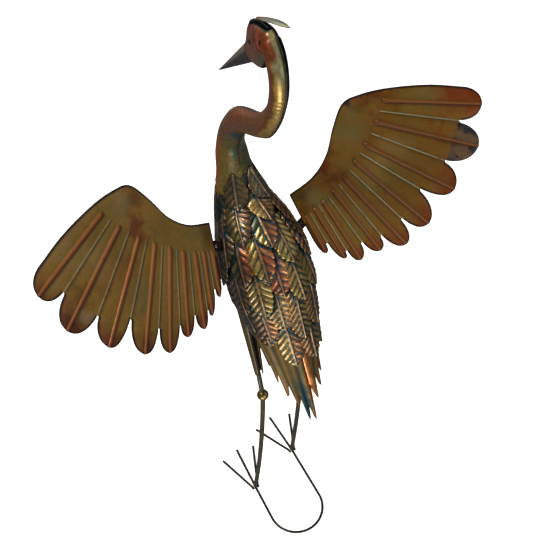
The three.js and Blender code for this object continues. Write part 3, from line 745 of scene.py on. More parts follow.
def edgeStart():
    # where the outermost feather leaves the leading edge, level with its rib's root
    root, tip = ribLines[0]
    along = (leadingEdge - root) @ unit(tip - root)
    return int(np.argmax((along > 0) & (leadingEdge[:, 0] > root[0])))


edgeCut = edgeStart()
grooveStarts = [(a[0] + b[0]) / 2 for a, b in zip(ribLines, ribLines[1:])]


def featherSheet(side, i):
    # one feather of the wing as two sheets, from its rib out to either side
    look = wingLook
    root, tip = ribLines[i]
    length = np.linalg.norm(tip - root)
    way = (tip - root) / length
    across = np.array([way[1], -way[0]])
    start = leadingEdge[-1] if i == 0 else wingNotches[i - 1]
    stop = wingNotches[i] if i < len(wingNotches) else np.array(look["lastNotch"], float)
    roundness = look["tipRound"] * abs((start - stop) @ across)
    outerFull, innerFull = look["full"]
    reach, back = max(0, (tip - start) @ way), max(0, (tip - stop) @ way)
    shoulder = start if i == 0 else start + across * look["notchWide"] + way * 0.8
    outer = bezier(shoulder, shoulder + way * reach * outerFull, tip - across * roundness * 0.9, tip)
    inner = bezier(stop, stop + way * back * innerFull, tip + across * roundness, tip)
    outerRoot = leadingEdge[edgeCut:] if i == 0 else grooveStarts[i - 1][None]
    innerRoot = (grooveStarts[i] if i < len(grooveStarts) else np.array(look["rootLow"], float))[None]
    halves = []
    for line, sign in ((np.vstack([outerRoot, start, outer]), -1), (np.vstack([innerRoot, inner]), 1)):
        local = line - root
        halves.append((local @ way, np.maximum(sign * (local @ across), 0)))
    g = 1 - (1 - np.linspace(0, 1, look["rows"])) ** 1.7
    near = np.array([0, 0.8, 1.8, 3, 4.4, 6]) / length  # close rows where the relief rises out of the sheet
    f = np.r_[near, g[g > near[-1] + 1.2 / length]][:, None]
    sheets = []
    for (alongLine, widths), sign, notch in zip(halves, (-1, 1), (start, stop)):
        first, free = alongLine[0], (notch - root) @ way
        level = f * length
        width = np.interp(level, alongLine, widths)
        rib = np.minimum(look["ribHalf"][0] + (look["ribHalf"][1] - look["ribHalf"][0]) * f, 0.3 * width)
        bead = np.minimum(look["beadHalf"], 0.2 * width)
        inside = np.array([0, 0.3, 0.6, 0.85, 1.0, 1.3])[None] * rib
        outside = width - np.array([1.7, 1.1, 0.6, 0.3, 0])[None] * bead
        middle = inside[:, -1:] + (outside[:, :1] - inside[:, -1:]) * np.array([0.25, 0.5, 0.75])[None]
        q = np.hstack([inside, middle, outside])
        share = q / np.maximum(width, 1e-6)
        p = level + first * share * (1 - f)
        width = np.maximum(np.interp(p, alongLine, widths), 1e-6)
        width[-1] = 0
        q = share * width
        started = np.broadcast_to(ramp(level, 0, look["ribEnd"]), p.shape)
        ribNow = np.maximum(rib, 0.02)
        ribBead = np.sqrt(np.clip(1 - (q / ribNow) ** 2, 0, 1)) * started
        fromEdge = width - q
        outermost, innermost = i == 0 and sign < 0, i == len(ribLines) - 1 and sign > 0
        onGroove = np.zeros_like(p) if outermost or innermost else ramp(p, free + 2, free - 3)
        grooveBead = np.exp(-((fromEdge / look["grooveHalf"]) ** 2)) * onGroove * started
        besideRib = ramp(q, ribNow * 0.35, ribNow * 0.75) * ramp(q, ribNow * 1.9, ribNow * 1.1)
        ribShade = besideRib * started * (sign > 0)
        if side == "right":  # the blunt root of the rib is in its own shade
            atRoot = ramp(level, 8, 4) * ramp(q, ribNow * 1.3, ribNow * 0.9)
            ribShade = np.maximum(ribShade, look["rootShade"] * atRoot)
        grooveShade = ramp(fromEdge, 0.7, 1.3) * ramp(fromEdge, 2.9, 1.6) * onGroove * (sign < 0) * started
        n = (look["plate"] + look["ribHigh"] * ribBead * (1 - 0.3 * f) + look["grooveHigh"] * grooveBead
             + look["camber"] * np.sin(math.pi * np.clip(share, 0, 1)) * started
             - look["fold"] * q * ramp(f, 0.72, 1.0))
        uv = root + p[..., None] * way + (sign * q)[..., None] * across
        rim = np.minimum(np.where(onGroove > 0.5, 30.0, fromEdge), length - p)  # a groove is no rim
        fields = {"feather": np.full(p.shape, float(i)), "ribShare": ribBead, "grooveShare": grooveBead,
                  "ribShade": ribShade, "grooveShade": grooveShade, "toTip": length - p, "rim": rim}
        if not outermost:
            uv, n, fields = addArm(i, sign, share[0], uv, n, fields)
        fields["wingU"], fields["wingV"] = uv[..., 0], uv[..., 1]
        points, normal = wingPoint(side, uv[..., 0], uv[..., 1], n)
        sheets.append({"points": points, "outward": normal, "fields": fields})
    return sheets


armInner = [np.array(wingLook["rootLow"], float)]
for i in range(len(ribLines) - 1, -1, -1):
    armInner += [ribLines[i][0]] + ([grooveStarts[i - 1]] if i else [])
armInner = np.array(armInner)
armOuter = leadingEdge[:edgeCut + 1]


def addArm(i, sign, share, uv, n, fields):
    # the plain arm panel runs on from the top of each feather up to the leading edge
    corners = arcOf(armInner) / arcOf(armInner)[-1]
    here = 1 + 2 * (len(ribLines) - 1 - i)
    at = corners[here] + share * (corners[here - sign] - corners[here])
    top = sample(arcOf(armOuter) / arcOf(armOuter)[-1], armOuter, at)
    down = np.array([0, 0.008, 0.02, 0.04, 0.08, 0.15, 0.25, 0.36, 0.48, 0.6, 0.72, 0.84, 0.93])[:, None]
    armUv = top[None] * (1 - down[..., None]) + uv[:1] * down[..., None]
    swell = np.sin(math.pi * down) ** 2 * np.sin(math.pi * at)[None] ** 0.5
    armN = wingLook["plate"] + wingLook["armHigh"] * swell
    inner = np.linalg.norm(armUv - (armOuter[0] + (armInner[0] - armOuter[0]) * down[..., None]), axis=-1)
    rim = np.minimum(np.linalg.norm(armUv - top[None], axis=-1), inner + 0.5)
    plain = {key: np.zeros(armN.shape) for key in fields}
    plain["toTip"], plain["rim"] = plain["toTip"] + 200, rim  # far from any tip
    fields = {key: np.vstack([plain[key], values]) for key, values in fields.items()}
    return np.vstack([armUv, uv]), np.vstack([armN, n]), fields


# the dark patch at each wing's root, by the body, is painted shadow
wingPatches = {  # u, v, reach in mm, colour, strength
    "left": [(128, 30, 20, "warm", 0.75), (150, 16, 16, "pale", 0.25), (126, -5, 12, "red", 0.8),
             (119, -20, 12, "red", 0.6), (141, -60, 20, "red", 0.4), (168, -90, 14, "red", 0.35),
             (152, 2, 22, "cool", 0.3), (20, -18, 24, "cool", 0.4), (202, -98, 16, "warm", 0.5),
             (196, -117, 6, "pale", 0.5), (189, -121, 6, "pale", 0.35), (240, -88, 14, "sheen", 0.5),
             (215, -50, 26, "sheen", 0.45), (175, -60, 20, "sheen", 0.4), (105, -95, 20, "cool", 0.6),
             (60, -70, 26, "sheen", 0.35), (97, -160, 14, "drip", 0.8), (57, -158, 10, "drip", 0.5),
             (210, -132, 14, "maroon", 0.5), (0, -70, 20, "cool", 0.4), (-6, -14, 22, "rootShadow", 0.6)],
    "right": [(6, -10, 28, "rootShadow", 0.85), (64, -8, 13, "red", 0.85), (52, -24, 17, "warm", 0.8),
              (78, 2, 14, "warm", 0.5), (113, 5, 24, "cool", 0.5), (135, 14, 16, "cool", 0.5),
              (158, 22, 22, "warm", 0.6), (176, 6, 20, "warm", 0.6), (247, -66, 28, "red", 0.95),
              (215, -36, 18, "cool", 0.3), (20, -26, 16, "cool", 0.5), (-5, -24, 14, "warm", 0.55),
              (197, -84, 12, "red", 0.8), (170, -128, 18, "red", 0.5), (96, -60, 22, "sheen", 0.3),
              (140, -60, 24, "sheen", 0.3), (139, 34, 8, "drip", 0.85), (35, -90, 24, "cool", 0.3)],
}
wingDots = {  # u, v and reach in mm of the blue-black drips
    "left": [(173, 16, 1.5), (168, 20, 1.4), (163, 22, 1.2), (179, 12, 1.4), (158, 24, 1.6), (232, -31, 1.7),
             (236, -36, 1.2), (187, 6, 1.1)],
    "right": [(218, -96, 2.4), (207, -129, 2.7), (187, -125, 2.2), (165, 18, 1.2), (158, 21, 1.0)],
}


def wingPaint(side):
    look = wingLook

    def paint(tree, place, colour):
        u, v, rim, toTip = [field(tree, name) for name in ("wingU", "wingV", "rim", "toTip")]
        wave = noise(tree, place, 45, 4)

        def wander(value, reach, low=0.3, high=0.7):
            return calc(tree, "ADD", value, spread(tree, wave, low, high, -reach, reach))

        def both(a, b):
            return calc(tree, "MULTIPLY", a, b)

        def awayFrom(pu, pv):
            du, dv = calc(tree, "SUBTRACT", u, pu), calc(tree, "SUBTRACT", v, pv)
            return calc(tree, "SQRT", calc(tree, "ADD", both(du, du), both(dv, dv)))

        nearTip = spread(tree, wander(toTip, 5, 0.35, 0.65), 8, look["tipReach"][side], 0.85, 0)
        coats = [(look["tip"][side], nearTip)]
        for pu, pv, reach, shade, strength in wingPatches[side]:
            away = wander(awayFrom(pu, pv), look["patchWander"])
            coats.append((look[shade], spread(tree, away, reach * 0.35, reach * 1.3, strength, 0)))
        stretch = addNode(tree, "ShaderNodeMapping")
        stretch.inputs["Scale"].default_value = look["scratchScale"]
        tree.links.new(place, stretch.inputs["Vector"])
        scratch = noise(tree, stretch.outputs["Vector"], 1, 4, 0.7)
        coats += [(look["worn"], spread(tree, wander(rim, 1.2), 0.4, 5, 0.75, 0)),
                  (look["streak"], spread(tree, scratch, 0.6, 0.78, 0, 0.55)),
                  (look["edgeTone"], spread(tree, rim, 1.5, 3.8, 0.96, 0))]
        if side == "right":  # the second feather's end has lost its brown coat
            fromSecond = calc(tree, "ABSOLUTE", calc(tree, "SUBTRACT", field(tree, "feather"), 1))
            bare = both(spread(tree, toTip, *look["bareReach"], 0.85, 0),
                        spread(tree, fromSecond, 0.2, 0.3, 1, 0))
            stain = spread(tree, noise(tree, place, 70, 3), 0.45, 0.6, 0, 0.6)
            coats += [(look["bare"], bare), (look["bareStain"], both(bare, stain)),
                      (look["drip"], both(bare, spread(tree, wander(rim, look["patchWander"]), 0, 9, 0.95, 0)))]
        for pu, pv, reach in wingDots[side]:
            coats.append((look["drip"], spread(tree, awayFrom(pu, pv), reach * 0.7, reach * 1.2, 0.95, 0)))
        flaked = spread(tree, noise(tree, place, 110, 3), 0.34, 0.46, 0.25, 1)
        coats += [(look["groove"], both(spread(tree, field(tree, "grooveShare"), 0.15, 0.8, 0, 0.9), flaked)),
                  (look["grooveShade"], spread(tree, field(tree, "grooveShade"), 0, 1, 0, 0.75)),
                  (look["rib"][side], spread(tree, field(tree, "ribShare"), 0.02, 0.5, 0, 0.92)),
                  (look["ribShade"], spread(tree, field(tree, "ribShade"), 0, 1, 0, 0.85))]
        return overpaint(tree, colour, coats)

    return paint


for side in ("left", "right"):
    wingMetal = lacquer(f"{side}WingLacquer", {
        "colour": wingLook["ground"][side], "metal": 0.35, "rough": 0.4,
        "coat": wingLook["coat"][side], "shine": wingLook["shine"][side],
        "cloudColour": "5a5222", "cloud": 0.45, "cloudScale": 20, "grain": 0.14, "grainScale": 300,
        "bump": 0.12, "specks": 0.6, "speckScale": 120},
        wingPaint(side))
    sheets = [sheet for i in range(len(ribLines)) for sheet in featherSheet(side, i)]
    wing = sheetPiece(f"{side}Wing", sheets, wingMetal, (f"{side}_wing",))
    weld = wing.modifiers.new("joined panels", "WELD")
    weld.merge_threshold = wingLook["weld"] / 1000
    thicken(wing, wingLook["sheet"])
print("wings made")

# neck and head
neckLook = {
    "stations": [  # y, z, half-width, half-depth
        (-109.2, 756.5, 21.5, 21), (-113, 776, 20.6, 20.8), (-113.5, 797, 17.8, 18.6), (-107, 820, 16.3, 17.8),
        (-97, 841, 15.4, 17), (-84, 861.5, 15, 16.3), (-66.4, 876.5, 14.6, 15.8), (-46, 891, 14, 15.2),
        (-26, 907.5, 13.8, 15), (-11.5, 926, 12.6, 14), (-1.2, 944.5, 11.4, 12.9), (5, 958, 10.5, 12),
        (9.3, 971.6, 10.1, 11.7), (12.2, 985, 10.2, 12), (13.7, 997, 10.4, 12.2), (13.6, 1010, 10.6, 12.4),
        (10.5, 1027, 11, 12.8), (4, 1042, 11.4, 12.6), (-6, 1051, 11.6, 12)],
    "headBack": (-2, 1060), "headFront": (-52.6, 998.5),
    "headProfile": [  # share, half-width, crown side, throat side
        (0, 6, 8, 6), (0.07, 9.6, 13, 10), (0.2, 12, 19.4, 16), (0.4, 11.8, 24.2, 20.8), (0.6, 9, 24.2, 24),
        (0.78, 6.4, 18.2, 22.6), (0.91, 5.9, 12.6, 17.8), (1, 5.6, 10.4, 12.4)],
    "sides": 40, "rings": 150, "voxel": 1.15, "soften": 6, "softenShare": 0.6,
    "skirtTop": 34, "hem": (7, 56), "hemRagged": 3, "skirtEase": 10, "skirtSheet": 0.6, "skirtDull": 0.7,
    "seam": 1.6, "seamThick": 1.6, "seamSunk": 1.5, "crownSeam": 1.5, "crownSeamAlong": (0.03, 0.66),
    "ripple": 0.1, "ripplePitch": 6.4,  # press ripples across the bends
    "tones": {"gold": "b0934f", "olive": "77683a", "rust": "7c4222", "brown": "74401c", "base": "54471f",
              "teal": "1d4c56", "greyGreen": "6d7258", "night": "15161a", "crown": "08090b",
              "cheek": "5e260a", "face": "78321a", "faceLight": "a67c68", "faceDark": "2c120c"},
}
neckLine = smoothLine([(0, y, z) for y, z, _, _ in neckLook["stations"]])
neckHalves = smoothValues([station[2:] for station in neckLook["stations"]])
neckArc = arcOf(neckLine)
neckAlong = unit(np.gradient(neckLine, axis=0))
headFrom = np.array([0, *neckLook["headBack"]], float)
headTo = np.array([0, *neckLook["headFront"]], float)
headLength = np.linalg.norm(headTo - headFrom)
headWay = (headTo - headFrom) / headLength
crownWay = np.array([0, headWay[2], -headWay[1]])
headCurve = smoothLine([(s * 100, a, b) for s, a, b, _ in neckLook["headProfile"]])
headThroat = smoothLine([(s * 100, c, 0) for s, _, _, c in neckLook["headProfile"]])


def neckFrameAt(distance):
    at, along = sample(neckArc, neckLine, distance), unit(sample(neckArc, neckAlong, distance))
    back = np.stack([np.zeros_like(along[..., 0]), along[..., 2], -along[..., 1]], -1)
    return at, along, back, sample(neckArc, neckHalves, distance)


def headWidths(share):
    # the head's half-width, and how far it reaches up to the crown and down to the throat
    half, crown = [np.interp(share * 100, headCurve[:, 0], headCurve[:, k]) for k in (1, 2)]
    return half, crown, np.interp(share * 100, headThroat[:, 0], headThroat[:, 1])


def neckTube():
    at, _, back, half = neckFrameAt(np.linspace(0, neckArc[-1], neckLook["rings"]))
    angle = ringAngles(neckLook["sides"])
    return ovalTube(at, back[:, None], np.sin(angle) * half[:, :1], np.cos(angle) * half[:, 1:])


def headTube():
    share = np.r_[0, np.linspace(0, 1, 60), 1]
    swell = np.ones(len(share))
    swell[0], swell[-1] = 0.55, 0.8  # rounds the two ends off
    half, crown, throat = [width * swell for width in headWidths(share)]
    angle = ringAngles(neckLook["sides"])
    depth = np.where(np.cos(angle) > 0, crown[:, None], throat[:, None])
    at = headFrom + share[:, None] * (headTo - headFrom)
    at[0] -= headWay * 2.0
    return ovalTube(at, crownWay, np.sin(angle) * half[:, None], np.cos(angle) * depth)


def neckSkirt():
    # the neck's sheet swells into the body and ends in a torn hem under the first feathers
    look = neckLook
    around = np.radians(np.linspace(-180, 180, 121))[None]
    low, high = look["hem"]  # mm down the body; it hangs lower on the bird's left
    hem = low + (high - low) * ramp(np.abs(np.degrees(around) - 88), 62, 20)
    hem = hem + look["hemRagged"] * np.sin(around * 11) * np.sin(around * 5 + 1)
    up = np.linspace(look["skirtTop"], 3, 14)
    at, _, back, half = neckFrameAt(up)
    swell = (-0.5 + 0.9 * ramp(up, look["skirtTop"], 26) + 0.9 * ramp(up, 24, 0))[:, None]
    upper = at[:, None] + back[:, None] * (np.cos(around) * (half[:, 1:] + swell))[..., None]
    upper[..., 0] += np.sin(around) * (half[:, :1] + swell)
    down = np.linspace(0, 1, 22)[:, None]
    distance = 3 + down * (hem - 3)
    lower, _ = onBody(distance, around, 1.3 + 0.2 * down)
    points = np.vstack([upper, lower])
    for _ in range(look["skirtEase"]):  # ease the bend where neck and body meet
        points[1:-1] = (points[:-2] + 2 * points[1:-1] + points[2:]) / 4
    centre = np.array([0, -104, 742.0])
    paint = neckPaint(points.reshape(-1, 3))[0].reshape(points.shape)
    plain = np.ones(points.shape[:2])
    return {"points": points, "outward": points - centre, "fields": {
        "paint": paint, "black": plain * 0, "dull": plain * look["skirtDull"]}}


def seamTurn(share):
    # degrees the seam wanders towards the bird's right as it climbs
    return 1.5 * ramp(share, 0.35, 0.5) + 9 * ramp(share, 0.66, 0.92)


def seamStrip():
    # the welded flange along the back of the neck and over the crown
    look = neckLook
    distance = np.linspace(4, neckArc[-1] - 6, 160)
    at, _, back, half = neckFrameAt(distance)
    rise = look["seam"] * ramp(distance, 2, 14)
    share = np.linspace(*look["crownSeamAlong"], 40)
    _, crown, _ = headWidths(share)
    turn = np.radians(seamTurn(distance / neckArc[-1]))[:, None]
    side = np.array([[-1.0, 0, 0]])  # towards the bird's right
    at = at + back * half[:, 1:] * np.cos(turn) + side * half[:, :1] * np.sin(turn)
    back = unit(back * np.cos(turn) + side * np.sin(turn))
    at = np.vstack([at, headFrom + share[:, None] * (headTo - headFrom) + crownWay * crown[:, None]])
    out = unit(np.vstack([back, np.broadcast_to(crownWay, (len(share), 3)) - headWay * (0.5 - share[:, None])]))
    rise = np.r_[rise, 0.4 + look["crownSeam"] * ramp(share, 0.12, 0.35) * ramp(share, 0.68, 0.5)]
    flat, foot = look["seamThick"] / 2, np.full(len(rise), -look["seamSunk"])
    corners = [(-flat, foot), (-flat, rise - 0.2), (0, rise), (flat, rise - 0.2), (flat, foot)]
    grid = np.stack([at + out * r[:, None] + np.array([x, 0, 0]) for x, r in corners], 1)
    return {"points": grid, "outward": out[:, None]}


def headCoordinates(points):
    local = points - headFrom
    return (local @ headWay) / headLength, local @ crownWay, points[:, 0]


def neckPlace(points):
    # share along the neck and degrees round it, 0 on the back seam and + on the bird's left
    spots = neckLine[::3]
    nearest = np.array([np.argmin(((spots - p) ** 2).sum(1)) for p in points]) * 3
    at, _, back, _ = neckFrameAt(neckArc[nearest])
    away = points - at
    return neckArc[nearest] / neckArc[-1], np.degrees(np.arctan2(away[:, 0], (away * back).sum(1)))


def spot(x, y, centreX, centreY, reachX, reachY, soft=0.5):
    away = np.hypot((x - centreX) / reachX, (y - centreY) / reachY)
    return ramp(away, 1 + soft, 1 - soft)


def neckPaint(points):
    # the paint, how black it is and how dull, for points on the neck, the head or the skirt
    tones = {name: tone(text) for name, text in neckLook["tones"].items()}
    share, angle = neckPlace(points)
    stray = 5 * np.sin(points[:, 2] * 0.21) + 3 * np.sin(points[:, 2] * 0.53 + points[:, 0] * 0.3)
    turned = angle + stray
    border = angle + stray * 0.3 - 2 + seamTurn(share)  # negative on the bird's right of the seam
    upper = ramp(share, 0.3, 0.42)
    rusty = ramp(share + stray * 0.004, 0.2, 0.28) * ramp(share, 0.55, 0.44) * ramp(angle, -20, 20)
    paint = coated(np.broadcast_to(tones["gold"], points.shape), [
        (tones["greyGreen"], 0.9 * spot(share, turned, 0.95, 14, 0.065, 38)),
        (tones["olive"], 0.5 * spot(share, turned, 0.6, 10, 0.09, 40)),
        (tones["olive"], 0.75 * ramp(share + stray * 0.004, 0.62, 0.5)),
        (tones["brown"], 0.92 * ramp(turned, 44, 66) * ramp(share, 0.42, 0.5)),
        (tones["rust"], 0.9 * rusty),
        (tones["base"], 0.85 * ramp(share + stray * 0.003, 0.27, 0.18)),
        (tones["brown"], 0.85 * ramp(turned, 66, 88) * ramp(share, 0.3, 0.2)),
        (tones["teal"], 0.9 * spot(share + stray * 0.002, angle, 0.27, 18, 0.045, 42)),
        (tones["teal"], 0.6 * spot(share + stray * 0.002, angle, 0.12, 12, 0.05, 12)),
        (tones["greyGreen"] * 0.5, 0.92 * ramp(border, 0, -4) * upper),
        (tones["brown"] * 0.7, 0.8 * ramp(border, -26, -34) * upper),
        (tones["greyGreen"] * 0.42, 0.8 * ramp(angle + stray * 0.3, 0, -12) * ramp(share, 0.42, 0.3))])

    # the head: streaked brown sides, a dark cheek and eye spots, a teal patch behind, a black crown and throat
    along, rise, x = headCoordinates(points)
    _, crown, throat = headWidths(along)
    streak = 0.5 + 0.5 * np.sin(along * 46 + 1.3 * np.sin(rise * 0.35))
    drips = 0.5 + 0.5 * np.sin(along * 71 + 0.9 * np.sin(rise * 0.5) + 2)
    face = coated(tones["face"], [
        (tones["faceLight"], 0.5 * streak**3 * (0.5 + 0.5 * np.sin(rise * 0.37 + along * 9))),
        (tones["faceDark"], 0.7 * drips**4 * (0.5 + 0.5 * np.sin(rise * 0.29 + along * 17 + 1)))])
    cheek = np.hypot((along - 0.05) * headLength / 10.5, (rise + 7) / 18)
    # the black cap climbs behind and dips at the forehead
    lower = 0.2 * ramp(along, 0.48, 0.72) - 0.05 * ramp(np.abs(along - 0.3), 0.25, 0)
    black = np.maximum.reduce([
        ramp(rise / crown + lower, 0.8, 0.87) * ramp(along, -0.12, -0.02),
        ramp(-rise / throat, 0.84, 0.93) * ramp(along, 0.2, 0.3) * (rise > -1.2 * throat),
        ramp(border, -11, -16) * ramp(border, -38, -30) * upper])
    paint = coated(paint, [
        (face, ramp(share, 0.9, 0.95) * ramp(along, 0.06, 0.16)),
        (tones["cheek"], 0.95 * ramp(cheek, 1.25, 0.75) * ramp(share, 0.88, 0.93) * ramp(x, 2.2, 5)),
        (tones["night"], 0.92 * spot(along, rise, 0.125, -1, 0.042, 2.6, 0.3) * (x > 4)),
        (tones["night"], 0.8 * spot(along, rise, 0.25, 4, 0.035, 2, 0.3) * (x > 4)),
        (tones["night"], 0.7 * spot(along, rise, 0.26, 11, 0.02, 1.5, 0.3) * (x > 3)),
        (tones["cheek"] * 0.7, 0.8 * spot(along, rise, 0.52, 5, 0.06, 4) * (x > 3)),
        (tones["teal"] * 0.6, 0.9 * spot(along, rise / crown, -0.02, 0.8, 0.09, 0.12) * (x > 0)),
        (tones["greyGreen"] * 0.75, 0.75 * spot(along, rise / throat, 0.42, -0.75, 0.22, 0.28)),
        (tones["crown"], black)])
    weathered = 0.6 * ramp(cheek, 1.7, 1.1) * ramp(share, 0.84, 0.9) + 0.7 * ramp(share, 0.24, 0.12)
    return paint, black, np.maximum(black, weathered)


def fusedNeck():
    # neck and head melted into one skin
    points, faces, _ = joinSheets([neckTube(), headTube()])
    mesh = bpy.data.meshes.new("neckRaw")
    mesh.from_pydata((points / 1000).tolist(), [], faces)
    raw = addObject("neckRaw", mesh)
    fuse = raw.modifiers.new("fuse", "REMESH")
    fuse.mode = "VOXEL"
    fuse.voxel_size = neckLook["voxel"] / 1000
    soft = raw.modifiers.new("soften", "SMOOTH")
    soft.factor = neckLook["softenShare"]
    soft.iterations = neckLook["soften"]
    fused = bpy.data.meshes.new_from_object(raw.evaluated_get(bpy.context.evaluated_depsgraph_get()))
    bpy.data.objects.remove(raw)
    co = np.zeros(len(fused.vertices) * 3, np.float32)
    fused.vertices.foreach_get("co", co)
    return co.reshape(-1, 3).astype(float) * 1000, [tuple(p.vertices) for p in fused.polygons]


def rippled(points):
    share, _ = neckPlace(points)
    at, along, _, _ = neckFrameAt(share * neckArc[-1])
    turns = 2 * math.pi / neckLook["ripplePitch"]
    wave = neckLook["ripple"] * np.sin(turns * ((points - at) * along).sum(1) + turns * share * neckArc[-1])
    wave = wave * ramp(share, 0.16, 0.24) * ramp(share, 0.93, 0.86) * (0.6 + 0.8 * np.sin(points[:, 2] * 0.11))
    return points + unit(points - at) * wave[:, None]


def neckBlack(tree, place, colour):
    black = spread(tree, field(tree, "black"), 0, 1, 0, 0.96)
    return overpaint(tree, colour, [(neckLook["tones"]["crown"], black)])


neckMetal = lacquer("neckLacquer", {
    "dullField": "dull", "metal": 0.68, "rough": 0.38, "cloudColour": "2b4a48", "cloud": 0.22, "cloudScale": 60,
    "grain": 0.3, "grainScale": 240, "bump": 0.35, "bumpScale": 150, "bumpDepth": 0.0006,
    "specks": 0.6, "speckScale": 200}, neckBlack)
points, faces = fusedNeck()
points = rippled(points)
makePiece("neckAndHead", points, faces, neckMetal, ("neck_and_head",),
          dict(zip(("paint", "black", "dull"), neckPaint(points))))
sheetPiece("neckSkirt", [neckSkirt()], neckMetal, (), neckLook["skirtSheet"])
seamMetal = lacquer("seamLacquer", {
    "colour": "14140f", "metal": 0.4, "rough": 0.38, "cloudColour": "4a442c", "cloud": 0.45, "cloudScale": 150,
    "grain": 0.4})
sheetPiece("neckSeam", [seamStrip()], seamMetal)
print("neck and head made")

# bill, crest and eyes
billLook = {
    "tip": (-135, 899.5), "halfWidth": 6, "halfDepth": 10.4, "gap": 0.3, "taper": 0.93,
    "profile": [  # half of its section, as shares of the half-width and the half-depth
        (0, 1), (0.5, 0.62), (0.92, 0.3), (1.0, 0.02), (0.9, -0.1), (0.93, -0.22), (0.7, -0.72), (0, -1.2)],
    # painted light: the top is lighter as a painted highlight and the lower face darker as painted shade
    "top": "5f584c", "side": "2d2a2e", "edge": "141416",
}


def billSheet():
    look = billLook
    base = headTo + headWay * look["gap"]
    share = np.linspace(0, 1, 30)[:, None]
    size = 1 - look["taper"] * share
    ring = np.array(look["profile"] + [(-x, z) for x, z in look["profile"][-2:0:-1]], float)
    sheet = ovalTube(base + share * (np.array([0, *look["tip"]]) - base), crownWay,
                     ring[:, 0] * look["halfWidth"] * size, ring[:, 1] * look["halfDepth"] * size)
    level = np.broadcast_to(ring[:, 1], sheet["points"].shape[:2])
    # painted highlight along the top, painted shade on the lower face
    sheet["fields"] = {"paint": coated(tone(look["side"]), [
        (tone(look["top"]), ramp(level, -0.05, 0.25)), (tone(look["edge"]), ramp(level, -0.55, -0.8))])}
    return sheet


billMetal = lacquer("billLacquer", {
    "metal": 0.5, "rough": 0.42, "cloudColour": "2f3a44", "cloud": 0.4, "cloudScale": 70, "grain": 0.25})
sheetPiece("bill", [billSheet()], billMetal, ("bill",), smooth=False)

crestLook = {
    "line": [  # y, z and half-width
        (-34, 1060, 1.2), (-27, 1065.5, 3.4), (-11, 1076, 4.6), (5, 1086, 4.6), (20, 1094, 3.8),
        (36, 1102, 0.6)],
    "sheet": 0.8, "rise": 1.2, "settle": 1.5, "pale": "6f7468", "pink": "6e463a", "tip": "7a7c5c",
}


def crestSheet():
    look = crestLook
    line = smoothLine([(0, y, z - look["settle"]) for y, z, _ in look["line"]])
    widths = smoothValues([(w,) for _, _, w in look["line"]])[:, 0]
    along = unit(np.gradient(line, axis=0))
    up = np.stack([np.zeros(len(line)), -along[:, 2], along[:, 1]], -1)
    side = np.linspace(-1, 1, 15)
    rise = look["sheet"] + look["rise"] * (1 - np.abs(side)) ** 0.9
    grid = line[:, None] + up[:, None] * rise[None, :, None]
    grid[..., 0] += side[None] * widths[:, None]
    share = np.broadcast_to((arcOf(line) / arcOf(line)[-1])[:, None], grid.shape[:2])
    # the pale middle is partly the crest's own silver-green and partly a painted highlight where it catches the
    # light
    paint = coated(tone(look["pink"]), [
        (tone(look["pale"]), ramp(share, 0.1, 0.42)), (tone(look["tip"]), ramp(share, 0.7, 0.95))])
    return {"points": grid, "outward": up[:, None], "fields": {"paint": paint}}


crestMetal = lacquer("crestLacquer", {
    "metal": 0.6, "rough": 0.38, "cloudColour": "6d7058", "cloud": 0.5, "cloudScale": 80, "grain": 0.2})
sheetPiece("crestLeaf", [crestSheet()], crestMetal, ("crest",), crestLook["sheet"])

eyeMetal = lacquer("eyePaint", {
    "colour": "120f0e", "metal": 0.1, "rough": 0.22, "cloudColour": "2a1c14", "cloud": 0.4, "grain": 0.2,
    "coat": 0.8, "coatRough": 0.08})
for side in ("left", "right"):
    finishNode(f"{side}_eye", eyeMetal)
print("bill, crest and eyes finished")

# legs, feet and the ground wire
legLook = {
    "foot": {"left": (47.3, 16.5), "right": (-46.7, -15.9)},
    "toes": {"left": {"inner": (-21.5, 77), "middle": (-2.2, 81.5), "outer": (18.7, 75)},
             "right": {"inner": (27.3, 74.5), "middle": (3.7, 79), "outer": (-21.5, 70.5)}},
    "aside": 5.6,  # how far a side toe's root lies beside the leg
    "toeRoot": [(0, -2.2), (-0.4, 1.4), (-1.9, 3.8)],  # its three points: x from aside, and y from the leg
    "wire": 2.25, "loop": (0.5, 85, 48.2),  # x, y and radius of the round bend
    "rod": 3.9, "bow": 4, "shankAside": {"left": -2.0, "right": 1.0}, "gap": 0.3,
    "ball": 9, "collar": 0.35, "sunk": 1.2,  # the rods' ends are sunk into the ball
    "hip": (30.5, -50, 604), "rodTop": 0.97, "thighTop": 0.985,  # the tops as shares of the way to the hip
    "thighStart": 44, "thighAside": -1.5, "thighHalf": (6.0, 15.2), "sheet": 0.8,
    "slot": 54, "turn": 2,  # degrees the thigh is open along the back, and that the opening turns outwards
}
wireMetal = lacquer("wireLacquer", {
    "colour": "11110c", "metal": 0.4, "rough": 0.45, "cloudColour": "33291a", "cloud": 0.5, "cloudScale": 60,
    "grain": 0.3, "bump": 0.3})
rodMetal = lacquer("rodLacquer", {
    "colour": "414139", "metal": 0.5, "rough": 0.4, "cloudColour": "6b5434", "cloud": 0.6, "cloudScale": 42,
    "grain": 0.35, "bump": 0.35, "specks": 0.4})
